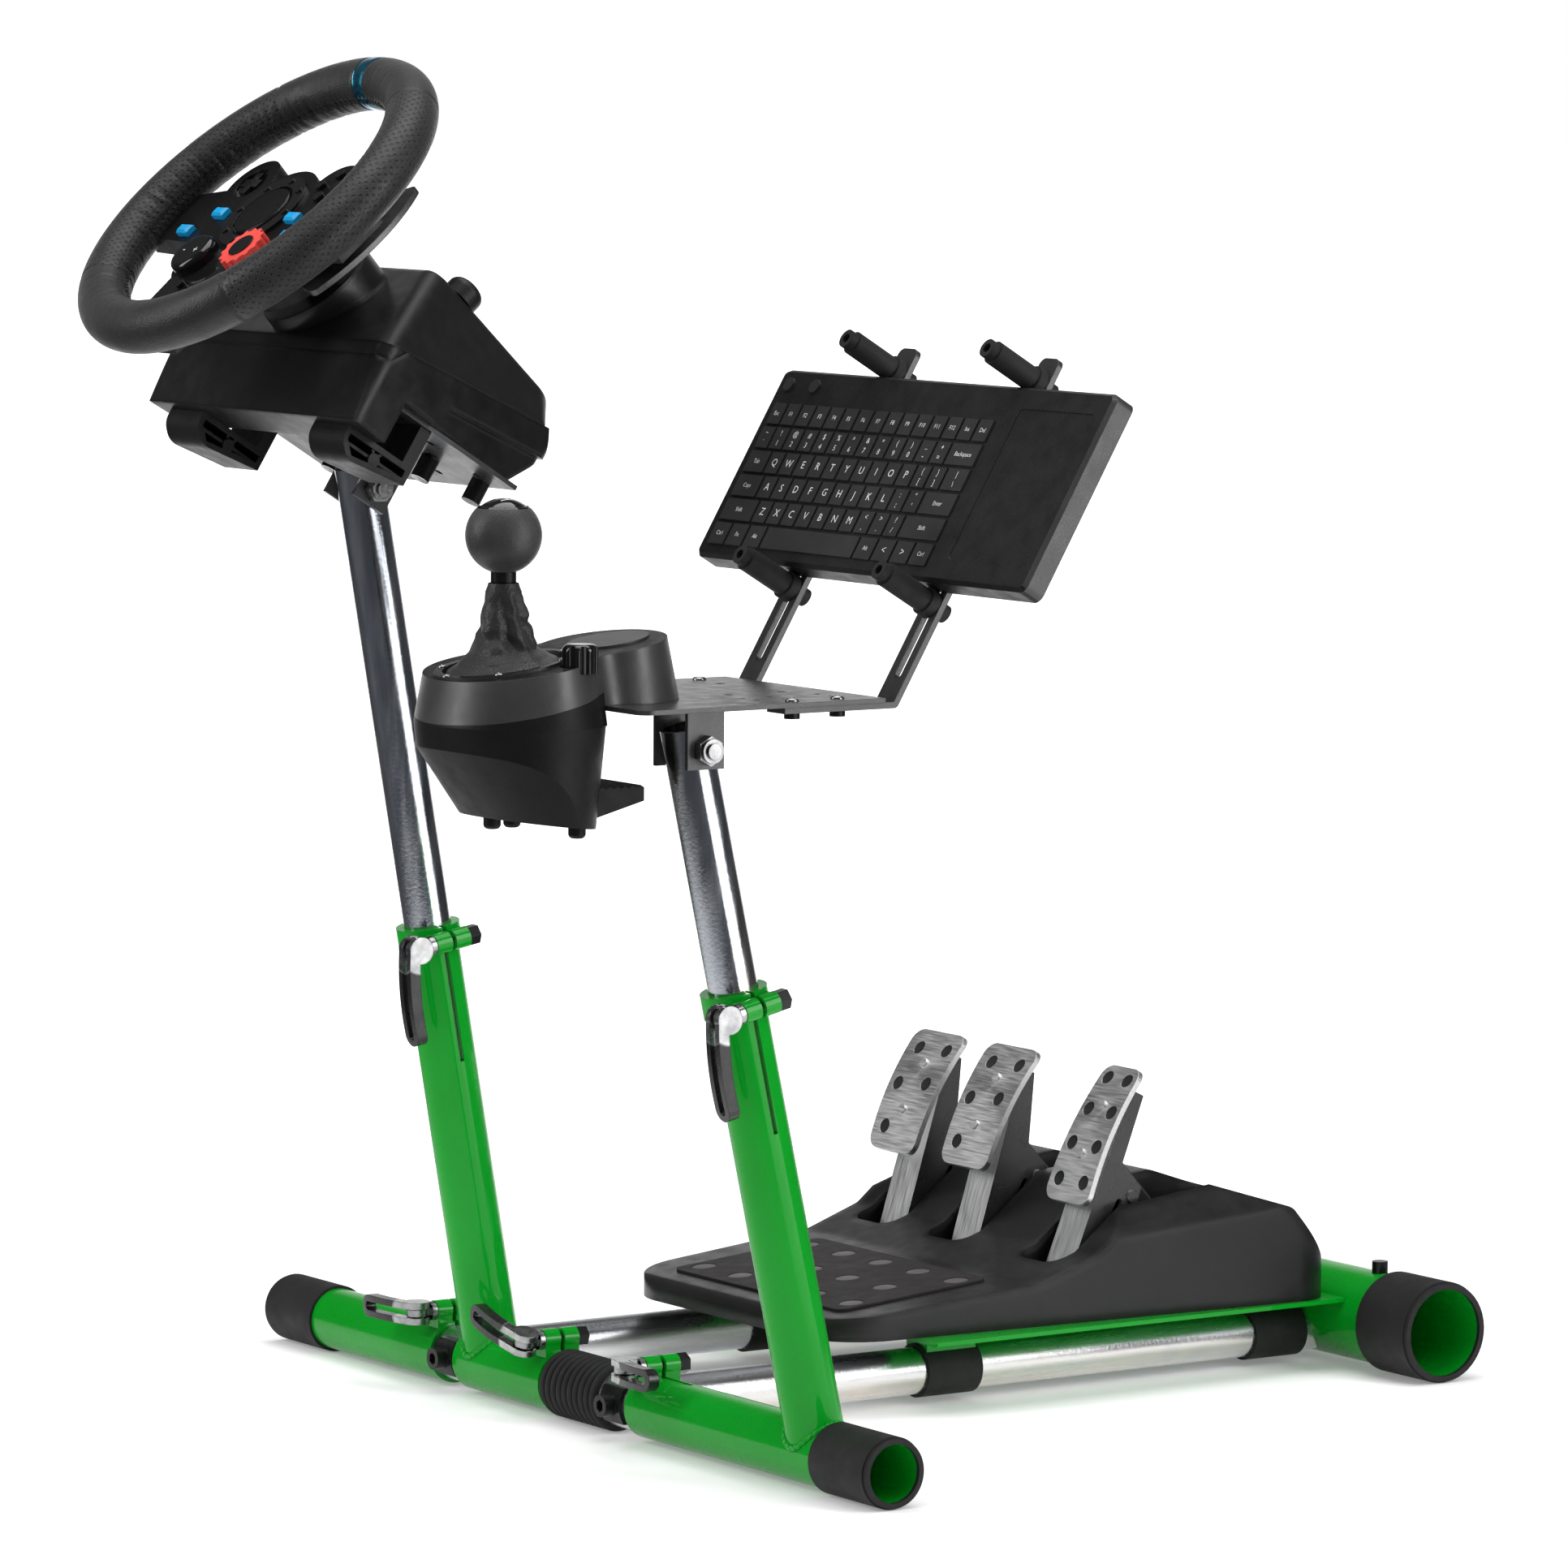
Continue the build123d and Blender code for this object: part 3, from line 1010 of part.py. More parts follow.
def key_sketch(left, top, height):
    """Outlines of the keys, row by row, in one block of equal width."""
    keys = Sketch()
    pitch = height / len(KEY_ROWS)
    for i, row in enumerate(KEY_ROWS):
        unit = KEYS_WIDTH / sum(row)
        x = left
        for units in row:
            wide = units * unit
            keys += Pos(x + wide / 2, top - (i + 0.5) * pitch) * Rectangle(wide - KEY_GAP, pitch - KEY_GAP)
            x += wide
    return keys


def make_keyboard():
    """Compact keyboard: bevelled slab with raised keys, two round buttons and a sunk touch pad."""
    low = PEG_LOW + PEG_FLANGE_R
    left, right = KEYBOARD_X - KEYBOARD_W / 2, KEYBOARD_X + KEYBOARD_W / 2
    top = low + KEYBOARD_H
    board = block((left, right), (low, top), (0, KEYBOARD_T))
    board = fillet(board.edges().filter_by(Axis.Z), KEYBOARD_EDGE)
    board = chamfer(board.faces().sort_by(Axis.Z)[-1].edges(), KEYBOARD_BEVEL)
    keys = key_sketch(left + KEYS_LEFT, top - KEYS_TOP, KEYBOARD_H - KEYS_TOP - KEYS_BOTTOM)
    for x in MEDIA_BUTTONS:
        keys += Pos(left + x, top - MEDIA_BUTTON_DROP) * Circle(MEDIA_BUTTON_R)
    board += upright_prism(keys, KEYBOARD_T, KEYBOARD_T + KEY_RISE)
    pad_w, pad_h = TOUCHPAD
    pad_centre = Pos(right - TOUCHPAD_RIGHT - pad_w / 2, (low + top) / 2)
    pad = pad_centre * RectangleRounded(pad_w, pad_h, TOUCHPAD_CORNER)
    return ARM_FRAME * (board - upright_prism(pad, KEYBOARD_T - TOUCHPAD_DEPTH, KEYBOARD_T + 1))


def make_deck():
    """Deck plate on its ears, with the keyboard arms, pegs and keyboard."""
    arm_low = DECK_TOP - PLATE_THICK - ARM_THICK
    bolts = [Pos(SIDE_POST_X, SIDE_PIVOT_Y, SIDE_PIVOT_Z) * tilt_bolt()]
    pegs = []
    for x in ARM_X:
        for y in ARM_BOLTS:
            bolts.append(rod(DECK_BOLT_R, (x, y, arm_low - DECK_BOLT_HEAD), (x, y, arm_low)))
        for y in (PEG_LOW, PEG_LOW + KEYBOARD_H + 2 * PEG_FLANGE_R):
            pegs.append(keyboard_peg(x, y))
    return {
        "deck_plate": make_deck_plate(),
        "deck_bolts": Compound(bolts),
        "keyboard_arms": Compound([keyboard_arm(x) for x in ARM_X]),
        "keyboard_pegs": Compound(pegs),
        "keyboard": make_keyboard(),
    }


def oval_column(start, end):
    """Column between two ovals, each given as its height, its place along Y and its radii."""
    return loft([Plane.XY.offset(z) * Pos(0, y) * Ellipse(*radii) for z, y, radii in (start, end)], ruled=True)


def shifter_plan(inset):
    """Plan of the shifter's shell: the bulb's and the tail's ovals with a smooth waist between them."""
    plan = Pos(0, BULB_Y) * Ellipse(*(radius - inset for radius in BULB_SIZE))
    plan += Pos(0, TAIL_Y) * Ellipse(*(radius - inset for radius in TAIL_SIZE))
    inside = [v for v in plan.vertices() if BULB_Y + 1 < v.Y < TAIL_Y - 1]
    return fillet(inside, WAIST_ROUND)


def shifter_column():
    """Drafted column over the shell's plan, from its girdle up."""
    ends = ((GIRDLE, 0), (SHELL_RISE, SHELL_DRAFT))
    return loft([Plane.XY.offset(z) * shifter_plan(inset) for z, inset in ends], ruled=True)


def below(line, far):
    """Everything under a line drawn in side view."""
    (y0, z0), (y1, z1) = line
    start, end = y0 - far, y1 + far
    outline = [(start, -far), (end, -far), (end, line_z(line, end)), (start, line_z(line, start))]
    return side_prism(outline, -far, far)


def make_shifter_shell():
    """Upper shell: bulb and tail with a sloping top, the boot's bowl, its ring and a round window."""
    far = 2 * BULB_SIZE[0]
    nose_seam, rear_seam = SHIFTER_SEAM
    seam = side_prism([(-far, -far), (0, -far), rear_seam, nose_seam, (-far, nose_seam[1])], -far, far)
    shell = (shifter_column() - seam) & below(SHIFTER_TOP, far)
    shell -= block((-far, far), (-SHIFTER_REAR_GAP, far), (GIRDLE - 1, 0))
    top_plane, _ = sloping_plane(*SHIFTER_TOP)
    nose = SHIFTER_TOP[0][0]
    shell += top_plane * Pos(0, BOOT_Y - nose, 0) * rod(BOWL_RING_R, (0, 0, -1), (0, 0, BOWL_RING_RISE))
    shell += top_plane * Pos(0, WINDOW_Y - nose, 0) * rod(WINDOW_R, (0, 0, -1), (0, 0, WINDOW_RISE))
    for side in (-1, 1):
        x, y = side * SMALL_KNOB[0], SMALL_KNOB[1]
        shell -= rod(SMALL_KNOB_SEAT_R, (x, y, SMALL_KNOB_SEAT_Z), (x, y, far))
    return shell - rod(BOWL_R, (0, BOOT_Y, GIRDLE - 1), (0, BOOT_Y, far))


def make_shifter_body():
    """Lower body: drafted oval with a flat back, a rounded chin, a sloping keel and the gimbal's cradle."""
    far = 2 * BULB_SIZE[0]
    body = oval_column((SHIFTER_BOTTOM, BULB_Y, SHIFTER_BOTTOM_SIZE), (GIRDLE, BULB_Y, BULB_SIZE))
    girth = [radius + CHIN_MARGIN for radius in BULB_SIZE]
    body &= oval_column((SHIFTER_BOTTOM, CHIN_Y, CHIN_SIZE), (GIRDLE, BULB_Y, girth))
    body += shifter_column() & below(SHIFTER_SEAM, far)
    body -= block((-far, far), (-SHIFTER_REAR_GAP, far), (-far, far))
    body -= below(KEEL, far)
    body -= rod(BOWL_R, (0, BOOT_Y, BOWL_FLOOR), (0, BOOT_Y, far))
    for sign in (-1, 1):
        y_span = sorted((BOOT_Y + sign * CRADLE_Y[0], BOOT_Y + sign * CRADLE_Y[1]))
        body += block((-CRADLE_WIDTH / 2, CRADLE_WIDTH / 2), y_span, (BOWL_FLOOR - 1, CRADLE_TOP))
    reach = 2 * CRADLE_Y[1]
    return body - rod(GIMBAL_PIN_R + PIN_CLEARANCE, (0, BOOT_Y - reach, LEVER_PIVOT_Z),
                      (0, BOOT_Y + reach, LEVER_PIVOT_Z))


def make_shifter_fittings():
    """Serrated clamp jaw, foot pegs and the two ribbed clamp knobs."""
    root_low, root_high = JAW_ROOT
    step = JAW_DEPTH / JAW_TEETH
    side = [(-SHIFTER_REAR_GAP, root_low), (JAW_DEPTH - SHIFTER_REAR_GAP, JAW_TIP_BOTTOM)]
    for i in range(JAW_TEETH):
        tooth_end = JAW_DEPTH - SHIFTER_REAR_GAP - i * step
        side += [(tooth_end, root_high), (tooth_end - step / 2, root_high + JAW_TOOTH)]
    side.append((-SHIFTER_REAR_GAP, root_high))
    pieces = [side_prism(side, -JAW_HALF, JAW_HALF)]
    for x, y in FOOT_PEGS:
        keel = line_z(KEEL, y)
        peg = rod(FOOT_PEG_R, (x, y, keel - FOOT_PEG_HEIGHT), (x, y, keel + FOOT_PEG_R))
        peg = fillet(peg.edges().sort_by(Axis.Z)[0], FOOT_PEG_ROUND)
        pieces.append(peg & below(KEEL, 2 * BULB_SIZE[0]))
    ribbed = Circle(SMALL_KNOB_R) + PolarLocations(SMALL_KNOB_R, SMALL_KNOB_RIBS) * Circle(SMALL_KNOB_RIB_R)
    for side_sign in (-1, 1):
        seat = Pos(side_sign * SMALL_KNOB[0], SMALL_KNOB[1], SMALL_KNOB_SEAT_Z)
        dome = rod(SMALL_KNOB_R + SMALL_KNOB_RIB_R, (0, 0, 0), (0, 0, SMALL_KNOB_HEIGHT))
        dome = fillet(dome.edges().sort_by(Axis.Z)[-1], SMALL_KNOB_ROUND)
        pieces.append(seat * (dome & upright_prism(ribbed, 0, SMALL_KNOB_HEIGHT)))
    return Compound(pieces)


def make_shifter():
    """Shifter housing, and its lever with ball and boot on the gimbal."""
    pivot = Pos(0, BOOT_Y, LEVER_PIVOT_Z)
    gimbal = tube(GIMBAL_R, GIMBAL_BORE, (0, 0, -GIMBAL_HALF), (0, 0, GIMBAL_HALF))
    for sign in (-1, 1):
        gimbal += rod(GIMBAL_PIN_R, (0, sign * (GIMBAL_BORE + 1), 0), (0, sign * CRADLE_Y[1], 0))
        gimbal += rod(GIMBAL_STUB_R, (sign * (LEVER_JOINT_R + FACE_GAP), 0, 0), (sign * (GIMBAL_BORE + 1), 0, 0))
    ball_z = LEVER_BALL_Z - LEVER_PIVOT_Z
    lever = rod(LEVER_SHAFT_R, (0, 0, 0), (0, 0, ball_z)) + Sphere(LEVER_JOINT_R)
    cap_cut = block((-LEVER_BALL_R, LEVER_BALL_R), (-LEVER_BALL_R, LEVER_BALL_R), (LEVER_CAP_CUT, LEVER_BALL_R))
    lever += Pos(0, 0, ball_z) * (Sphere(LEVER_BALL_R) - cap_cut)
    lever += Pos(0, 0, ball_z) * (Sphere(LEVER_BALL_R - LEVER_CAP_STEP) & cap_cut)
    collar_low = BOOT_TOP_Z - LEVER_PIVOT_Z
    collar_high = ball_z - LEVER_BALL_R + LEVER_COLLAR_BITE
    lever += rod(LEVER_SHAFT_R + LEVER_COLLAR, (0, 0, collar_low), (0, 0, collar_high))
    outer = [*BOOT_PROFILE, (BOOT_NECK_R, BOOT_TOP_Z - LEVER_PIVOT_Z)]
    inner = [(r - BOOT_WALL, z) for r, z in outer]
    wall = make_face([Spline(*outer), Line(outer[-1], inner[-1]), Spline(*reversed(inner)),
                      Line(inner[0], outer[0])])
    boot = revolve(Plane.XZ * wall, axis=Axis.Z) - rod(LEVER_SHAFT_R, (0, 0, 0), (0, 0, ball_z))
    return {
        "shifter_body": SHIFTER_FRAME * make_shifter_body(),
        "shifter_top": SHIFTER_FRAME * make_shifter_shell(),
        "shifter_fittings": SHIFTER_FRAME * make_shifter_fittings(),
        "shift_gimbal": SHIFTER_FRAME * pivot * gimbal,
        "shift_lever": SHIFTER_FRAME * pivot * lever,
        "shift_boot": SHIFTER_FRAME * pivot * boot,
    }


def from_pivot(offset_yz):
    """Point in side view, measured from the pedals' pivot."""
    return PEDAL_PIVOT[0] + offset_yz[0], PEDAL_PIVOT[1] + offset_yz[1]


def pedal_arm(x, centre, length):
    """Folded steel channel with slotted flanges, its pivot pin, spring bolt and spring sleeve."""
    rise = radians(PAD_RISE)
    back = PAD_THICK / 2 + PAD_CURVE
    reach = ARM_TOP_SHARE * length
    top = (centre[0] + back * sin(rise) + reach * cos(rise), centre[1] - back * cos(rise) + reach * sin(rise))
    outline = [from_pivot(ARM_FOOT_FRONT), top, (top[0] + ARM_TOP_DEPTH[0], top[1] + ARM_TOP_DEPTH[1]),
               from_pivot(ARM_KNUCKLE_TOP), from_pivot(ARM_KNUCKLE_REAR), from_pivot(ARM_KNUCKLE_LOW),
               from_pivot(ARM_FOOT_REAR)]
    half = ARM_CHANNEL / 2
    arm = side_prism(outline, x - half, x + half)
    hollow = [(y + ARM_HOLLOW[0], z + ARM_HOLLOW[1]) for y, z in outline]
    arm -= side_prism(hollow, x - half + SHEET, x + half - SHEET)
    window = Plane.YZ * Rot(Z=PAD_RISE) * SlotOverall(*ARM_WINDOW)
    arm -= Pos(x, *from_pivot(ARM_WINDOW_AT)) * extrude(window, amount=ARM_CHANNEL, both=True)
    bolt_reach = half + ARM_BOLT_PROUD
    knuckle = from_pivot(ARM_KNUCKLE)
    arm += rod(ARM_BOLT_R, (x - bolt_reach, *knuckle), (x + bolt_reach, *knuckle))
    seat = POCKET_WIDTH / 2 + PEDAL_PIN_SEAT - PIN_END_GAP
    arm += rod(PEDAL_PIN_R, (x - seat, *PEDAL_PIVOT), (x + seat, *PEDAL_PIVOT))
    spring_top = from_pivot(SPRING_TOP)
    spring_end = (spring_top[0] + SPRING_RUN[0], spring_top[1] + SPRING_RUN[1])
    return arm + rod(SPRING_R, (x, *spring_top), (x, *spring_end))


def pedal_face(x, centre, length, top_width, bottom_width, studs):
    """Curved pad, wider or narrower at its top, with sunk grip studs and two bolt heads."""
    outline = Polygon((-bottom_width / 2, -length / 2), (bottom_width / 2, -length / 2),
                      (top_width / 2, length / 2), (-top_width / 2, length / 2), align=None)
    outline = fillet(outline.vertices(), PAD_CORNER)
    blank = extrude(outline, amount=4 * PAD_THICK, both=True)
    radius = (length * length / 4 + PAD_CURVE * PAD_CURVE) / (2 * PAD_CURVE)
    axis = Pos(0, 0, -radius)
    pad = blank & (axis * tube(radius, radius - PAD_THICK, (-top_width, 0, 0), (top_width, 0, 0)))
    for stud_x, stud_y in studs:
        face_z = (radius * radius - stud_y * stud_y) ** 0.5 - radius
        pad -= rod(STUD_R, (stud_x, stud_y, face_z - STUD_DEPTH), (stud_x, stud_y, PAD_THICK))
    for bolt_y in PAD_BOLTS:
        face_z = (radius * radius - bolt_y * bolt_y) ** 0.5 - radius
        pad += rod(PAD_BOLT_R, (0, bolt_y, face_z - PAD_THICK / 2), (0, bolt_y, face_z + PAD_BOLT_RISE))
    return Pos(x, *centre) * Rot(X=PAD_RISE) * pad


def make_pedal_plate():
    """Green plate on saddles over the long tubes, coped to the rear crossbar."""
    x_span = (UNIT_X - PEDAL_PLATE_HALF, UNIT_X + PEDAL_PLATE_HALF)
    low = PLATE_TOP - PLATE_THICK
    plate = block(x_span, (PEDAL_PLATE_FRONT, REAR_Y), (low, PLATE_TOP))
    plate -= rod(REAR_R, (x_span[0] - 1, REAR_Y, REAR_Z), (x_span[1] + 1, REAR_Y, REAR_Z))
    saddle_y = (COLLAR_FRONT_Y + SADDLE_END, COLLAR_FRONT_Y + COLLAR_LENGTH - SADDLE_END)
    for x in LONG_TUBE_X:
        saddle = block((x - SADDLE_HALF, x + SADDLE_HALF), saddle_y, (CROSS_Z, low))
        plate += saddle - rod(COLLAR_R, (x, 0, CROSS_Z), (x, REAR_Y, CROSS_Z))
    return plate


def roof_section(y, z):
    """Cross section of the base at Y: upright sides to a height, then a broad shoulder."""
    wide = UNIT_BACK_HALF + 1
    outline = Polygon((-wide, 0), (wide, 0), (wide, z), (ROOF_HALF, z + ROOF_RISE), (-ROOF_HALF, z + ROOF_RISE),
                      (-wide, z), align=None)
    return Plane(origin=(UNIT_X, y, 0), x_dir=(1, 0, 0), z_dir=(0, -1, 0)) * outline


def make_pedal_base():
    """Moulded base: heel rest, sill and hump with sloping shoulders, and a pocket for each pedal."""
    wide = UNIT_BACK_HALF + 2
    side = [(UNIT_FRONT, PLATE_TOP), (UNIT_FRONT, HEEL_FRONT_EDGE), HEEL_FRONT, HEEL_BACK, SILL, HUMP_FRONT,
            HUMP_CREST, HUMP_BACK, UNIT_BACK_TOP, (UNIT_BACK, PLATE_TOP)]
    plan = Polygon((-UNIT_FRONT_HALF, UNIT_FRONT), (UNIT_FRONT_HALF, UNIT_FRONT), (UNIT_BACK_HALF, UNIT_BACK),
                   (-UNIT_BACK_HALF, UNIT_BACK), align=None)
    corners = plan.vertices().sort_by(Axis.Y)
    plan = fillet(corners[:2], UNIT_FRONT_CORNER)
    plan = fillet(plan.vertices().sort_by(Axis.Y)[-2:], UNIT_BACK_CORNER)
    base = side_prism(side, UNIT_X - wide, UNIT_X + wide)
    base &= upright_prism(Pos(UNIT_X, 0) * plan, PLATE_TOP, HUMP_CREST[1] + 1)
    base &= loft([roof_section(y, z) for y, z in SIDE_LINE], ruled=True)
    creases = [edge for edge in base.edges().filter_by(Axis.X) if edge.center().Z > HEEL_FRONT[1]]
    base = fillet(creases, BASE_ROUND)
    pocket = RectangleRounded(POCKET_WIDTH, POCKET_Y[1] - POCKET_Y[0], POCKET_CORNER)
    seat = POCKET_WIDTH / 2 + PEDAL_PIN_SEAT
    for x in PEDAL_X:
        base -= upright_prism(Pos(x, sum(POCKET_Y) / 2) * pocket, POCKET_FLOOR, HUMP_CREST[1] + 1)
        base -= rod(PEDAL_PIN_R + PIN_CLEARANCE, (x - seat, *PEDAL_PIVOT), (x + seat, *PEDAL_PIVOT))
    return base


def make_heel_pad():
    """Thin rubber pad on the heel rest, with staggered rows of round dimples."""
    pad_w, pad_l, pad_t = HEEL_PAD_SIZE
    pad = extrude(RectangleRounded(pad_w, pad_l, HEEL_PAD_CORNER), amount=pad_t)
    pitch_x, pitch_y = HEEL_DOT_PITCH
    for i, count in enumerate(HEEL_DOT_ROWS):
        y = (i - (len(HEEL_DOT_ROWS) - 1) / 2) * pitch_y
        for place in GridLocations(pitch_x, 1, count, 1):
            pad -= Pos(0, y, 0) * place * rod(HEEL_DOT_R, (0, 0, pad_t - HEEL_DOT_DEPTH), (0, 0, pad_t + 1))
    heel = (HEEL_FRONT, HEEL_BACK)
    rest, _ = sloping_plane((HEEL_PAD_Y, line_z(heel, HEEL_PAD_Y)), HEEL_BACK)
    return Pos(UNIT_X, 0, 0) * rest * pad


def make_pedals():
    """Pedal plate, moulded base, heel pad and the three sprung pedals."""
    nodes = {"pedal_plate": make_pedal_plate(), "pedal_base": make_pedal_base(), "heel_pad": make_heel_pad()}
    shapes = zip(PEDAL_NAMES, PEDAL_X, PAD_CENTRES, PAD_LENGTHS, PAD_TOPS, PAD_BOTTOMS, PAD_STUDS)
    for name, x, centre, length, top_width, bottom_width, studs in shapes:
        face = pedal_face(x, centre, length, top_width, bottom_width, studs)
        nodes[f"{name}_pedal"] = pedal_arm(x, centre, length) - face
        nodes[f"{name}_face"] = face
    return nodes


def main():
    """Build every node and write one file for each."""
    os.makedirs("parts", exist_ok=True)
    nodes = {}
    for make in (make_base, make_main_post, make_side_post, make_wheel_unit, make_steering, make_deck,
                 make_shifter, make_pedals):
        nodes.update(make())
    to_origin = Pos(-ORIGIN[0], -ORIGIN[1], -ORIGIN[2])
    for name, shape in nodes.items():
        export_step(to_origin * shape, f"parts/{name}.step")


if __name__ == "__main__":
    main()
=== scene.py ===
import bpy
import json
from math import atan2, cos, degrees, exp, hypot, pi, radians, sin, sqrt
from mathutils import Matrix, Vector, noise


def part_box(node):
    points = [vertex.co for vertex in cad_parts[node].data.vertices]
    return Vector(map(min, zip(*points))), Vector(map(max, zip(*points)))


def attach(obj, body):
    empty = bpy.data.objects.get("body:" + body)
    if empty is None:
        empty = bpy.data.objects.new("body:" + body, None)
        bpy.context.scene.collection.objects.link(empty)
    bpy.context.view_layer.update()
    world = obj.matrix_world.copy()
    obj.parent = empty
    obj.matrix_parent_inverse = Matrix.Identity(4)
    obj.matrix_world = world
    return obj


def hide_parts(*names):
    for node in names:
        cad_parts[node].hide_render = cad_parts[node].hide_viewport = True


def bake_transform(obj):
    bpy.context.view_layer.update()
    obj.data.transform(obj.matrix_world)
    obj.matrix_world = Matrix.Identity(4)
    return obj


# Racing wheel stand: finishes, soft parts and small fittings over the solid parts.
# Design places are in millimetres from the foot of the wheel post, as in the part's source.

MM = 0.001
CROSS_TUBE_MID = Vector((75.0, 0.0, 23.2))

# Wheel
WHEEL_LEAN = 40.3
RIM_R = 121.0
RIM_SECTION_R = 17.5
RIM_STEPS = 540
RIM_GIRTH_STEPS = 64
RIM_SEAMS = (-45.0, 50.0, 130.0, 225.0)
RIM_BAND = 90.0
RIM_BAND_HALF = 7.0
STITCH_PITCH = 5.6
STITCH_R = 0.42
STITCH_LEAN = 0.42
PUNCH_PITCH = 4.2
# Grooves in the rim's leather: depth and half width
SEAM_GROOVE = (1.1, 1.5)
CROSS_SEAM_GROOVE = (0.8, 1.2)
BAND_GROOVE = (0.9, 1.1)
PUCKER_GROOVE = (0.45, 4.5)
CREASE_GROOVE = (1.7, 20.0)
PUCKER_OFF = 5.5
CREASE_SCALE = (4.5, 30.0)
HUB_FACE = -8.0
TRIM_RING = (34.0, 24.0)
DPAD_CENTRE = (-54.0, 28.0)
DISH_R = 14.0
DIAL_CENTRE = (34.5, -41.0)
DIAL_SPIGOT_R = 9.5
KNOB_CENTRE = (-25.0, -47.0)
KNOB_TOP = 1.0
KNOB_MARK_SIZE = 9.0
KNOB_MARK_OFF = 6.5
LOW_SPOKE_Y = -60.0

# Posts
POST_R = 19.0
SLEEVE_R = 21.2
POSTS = {"main_post": (0.0, 9.9), "side_post": (392.0, 12.5)}
WELD_R = 2.1
WELD_RIPPLE = 0.5
WELD_SCALES = 30
WELD_STEPS = 240
WELD_SIDES = 10
SATIN_PLATE = (0.2, 0.34)
BRIGHT_PLATE = (0.09, 0.24)
CLAMPS = ("left", "centre", "right", "wheel_mast", "side_mast")
CAM_METAL_R = 17.5
DIP_EDGE = 0.8
BOLT_HEAD_AWAY = 39.0
TILT_BOLT_R = 13.0

# Shifter and keyboard
SHIFTER_PLACE = (350.0, -168.0)
BOOT_Y = -42.0
LEVER_PIVOT_Z = 11.0
BOOT_PROFILE = ((36.9, 8.5), (35.8, 12.0), (29.5, 16.0), (23.0, 22.0),
                (19.0, 30.0), (16.5, 42.0), (13.0, 53.0), (9.5, 63.1))
BOOT_ROWS = 96
BOOT_COLUMNS = 128
BOOT_WAIST_ROW = 30
BOOT_FOLDS = 5
BOOT_FOLD_DEPTH = 3.6
BOOT_ROLL_DEPTH = 1.7
BOOT_ROUGH_DEPTH = 1.4
SKIRT_BEND = (15.5, 23.4)
BOOT_BEND = (27.5, 58.0)
SHIFTER_TOP = ((-92.0, 15.0), (78.0, 42.0))
BOWL_RING_MID = 40.5
BOWL_RING_RISE = 1.6
BOWL_SCREWS = (35.0, 80.0, 145.0, 215.0, 270.0, 325.0)
BOWL_SCREW_HEAD = ((0.0, 0.5), (1.0, 0.5), (1.3, 1.1), (2.2, 0.9), (2.7, 0.3), (2.8, -0.2))
DECK_SCREW_HEAD = ((0.0, 1.0), (1.4, 1.0), (1.7, 1.9), (3.4, 1.7), (4.4, 0.9), (4.6, -0.1))
SCREW_STEPS = 24
BALL_Z = 103.5
BALL_R = 23.8
BALL_CAP = 18.0
BALL_CAP_STEP = 0.8
GATE_HALF = 5.5
GATE_LINE = 1.1
GATE_STEPS = 12
ARM_BEND_Y = 20.0
ARM_PITCH = 59.2
DECK_THICK = 3.0
ARM_X = (274.5, 431.5)
ARM_BOLTS = (-50.0, -16.0)
KNOB_SEAT_Z = 21.0
KEYBOARD_X = 357.0
KEYBOARD_SIZE = (369.0, 140.0, 16.0)
KEYBOARD_LOW = 77.5
SPACE_BAR = "space"
PRINT_RISE = 0.04
KEYS_LEFT = 9.0
KEYS_WIDTH = 250.0
KEYS_TOP = 25.0
KEYS_BOTTOM = 8.0
KEY_RISE = 1.4
KEY_UNITS = (
    (1.0,) * 15,
    (1.0,) * 13 + (2.0,),
    (1.5,) + (1.0,) * 12 + (1.5,),
    (1.8,) + (1.0,) * 11 + (2.2,),
    (2.3,) + (1.0,) * 10 + (2.7,),
    (1.2,) * 3 + (6.2,) + (1.2,) * 4,
)
KEY_WORDS = (
    "Esc F1 F2 F3 F4 F5 F6 F7 F8 F9 F10 F11 F12 Ins Del",
    "` 1 2 3 4 5 6 7 8 9 0 - = Backspace",
    "Tab Q W E R T Y U I O P [ ] \\",
    "Caps A S D F G H J K L ; ' Enter",
    "Shift Z X C V B N M , . / Shift",
    "Ctrl Fn Alt space Alt < > Ctrl",
)
SHIFTED = dict(zip("`1234567890-=[]\\;',./", "~!@#$%^&*()_+{}|:\"<>?"))
LETTER_SIZE = 7.6
PAIR_SIZE = 5.6
PAIR_RISE = 3.6
WORD_SIZE = 4.4

# Pedals
PEDAL_X = {"clutch": -29.0, "brake": 59.0, "gas": 169.0}
PAD_CENTRES = {"clutch": (362.0, 180.0), "brake": (362.0, 180.0), "gas": (373.0, 173.0)}
PAD_LENGTHS = {"clutch": 92.0, "brake": 92.0, "gas": 102.0}
PAD_RISE = 60.7
PAD_CURVE = 5.0
WIDE_STUDS = ((-15.0, 31.0), (17.0, 32.0), (-18.0, 2.0), (14.0, 5.0), (-14.0, -30.0))
SLIM_STUDS = ((-11.0, 41.0), (11.0, 41.0), (-13.0, 16.0), (13.0, 16.0), (-14.0, -10.0), (14.0, -10.0),
              (-14.0, -36.0), (14.0, -36.0))
PAD_STUDS = {"clutch": WIDE_STUDS, "brake": WIDE_STUDS, "gas": SLIM_STUDS}
STUD_PROFILE = ((0.0, -1.1), (2.6, -1.0), (4.3, -0.6), (5.1, -0.05))
SPRING_R = 12.6
SPRING_TOP = (396.0, 134.0)
SPRING_END = (428.0, 100.0)
UNIT_X = 72.5
HEEL_SLOPE = ((146.0, 66.0), (300.0, 80.0))
HEEL_PAD_Y = 224.0
HEEL_PAD_THICK = 1.6
HEEL_DOT_PITCH = (45.0, 43.0)
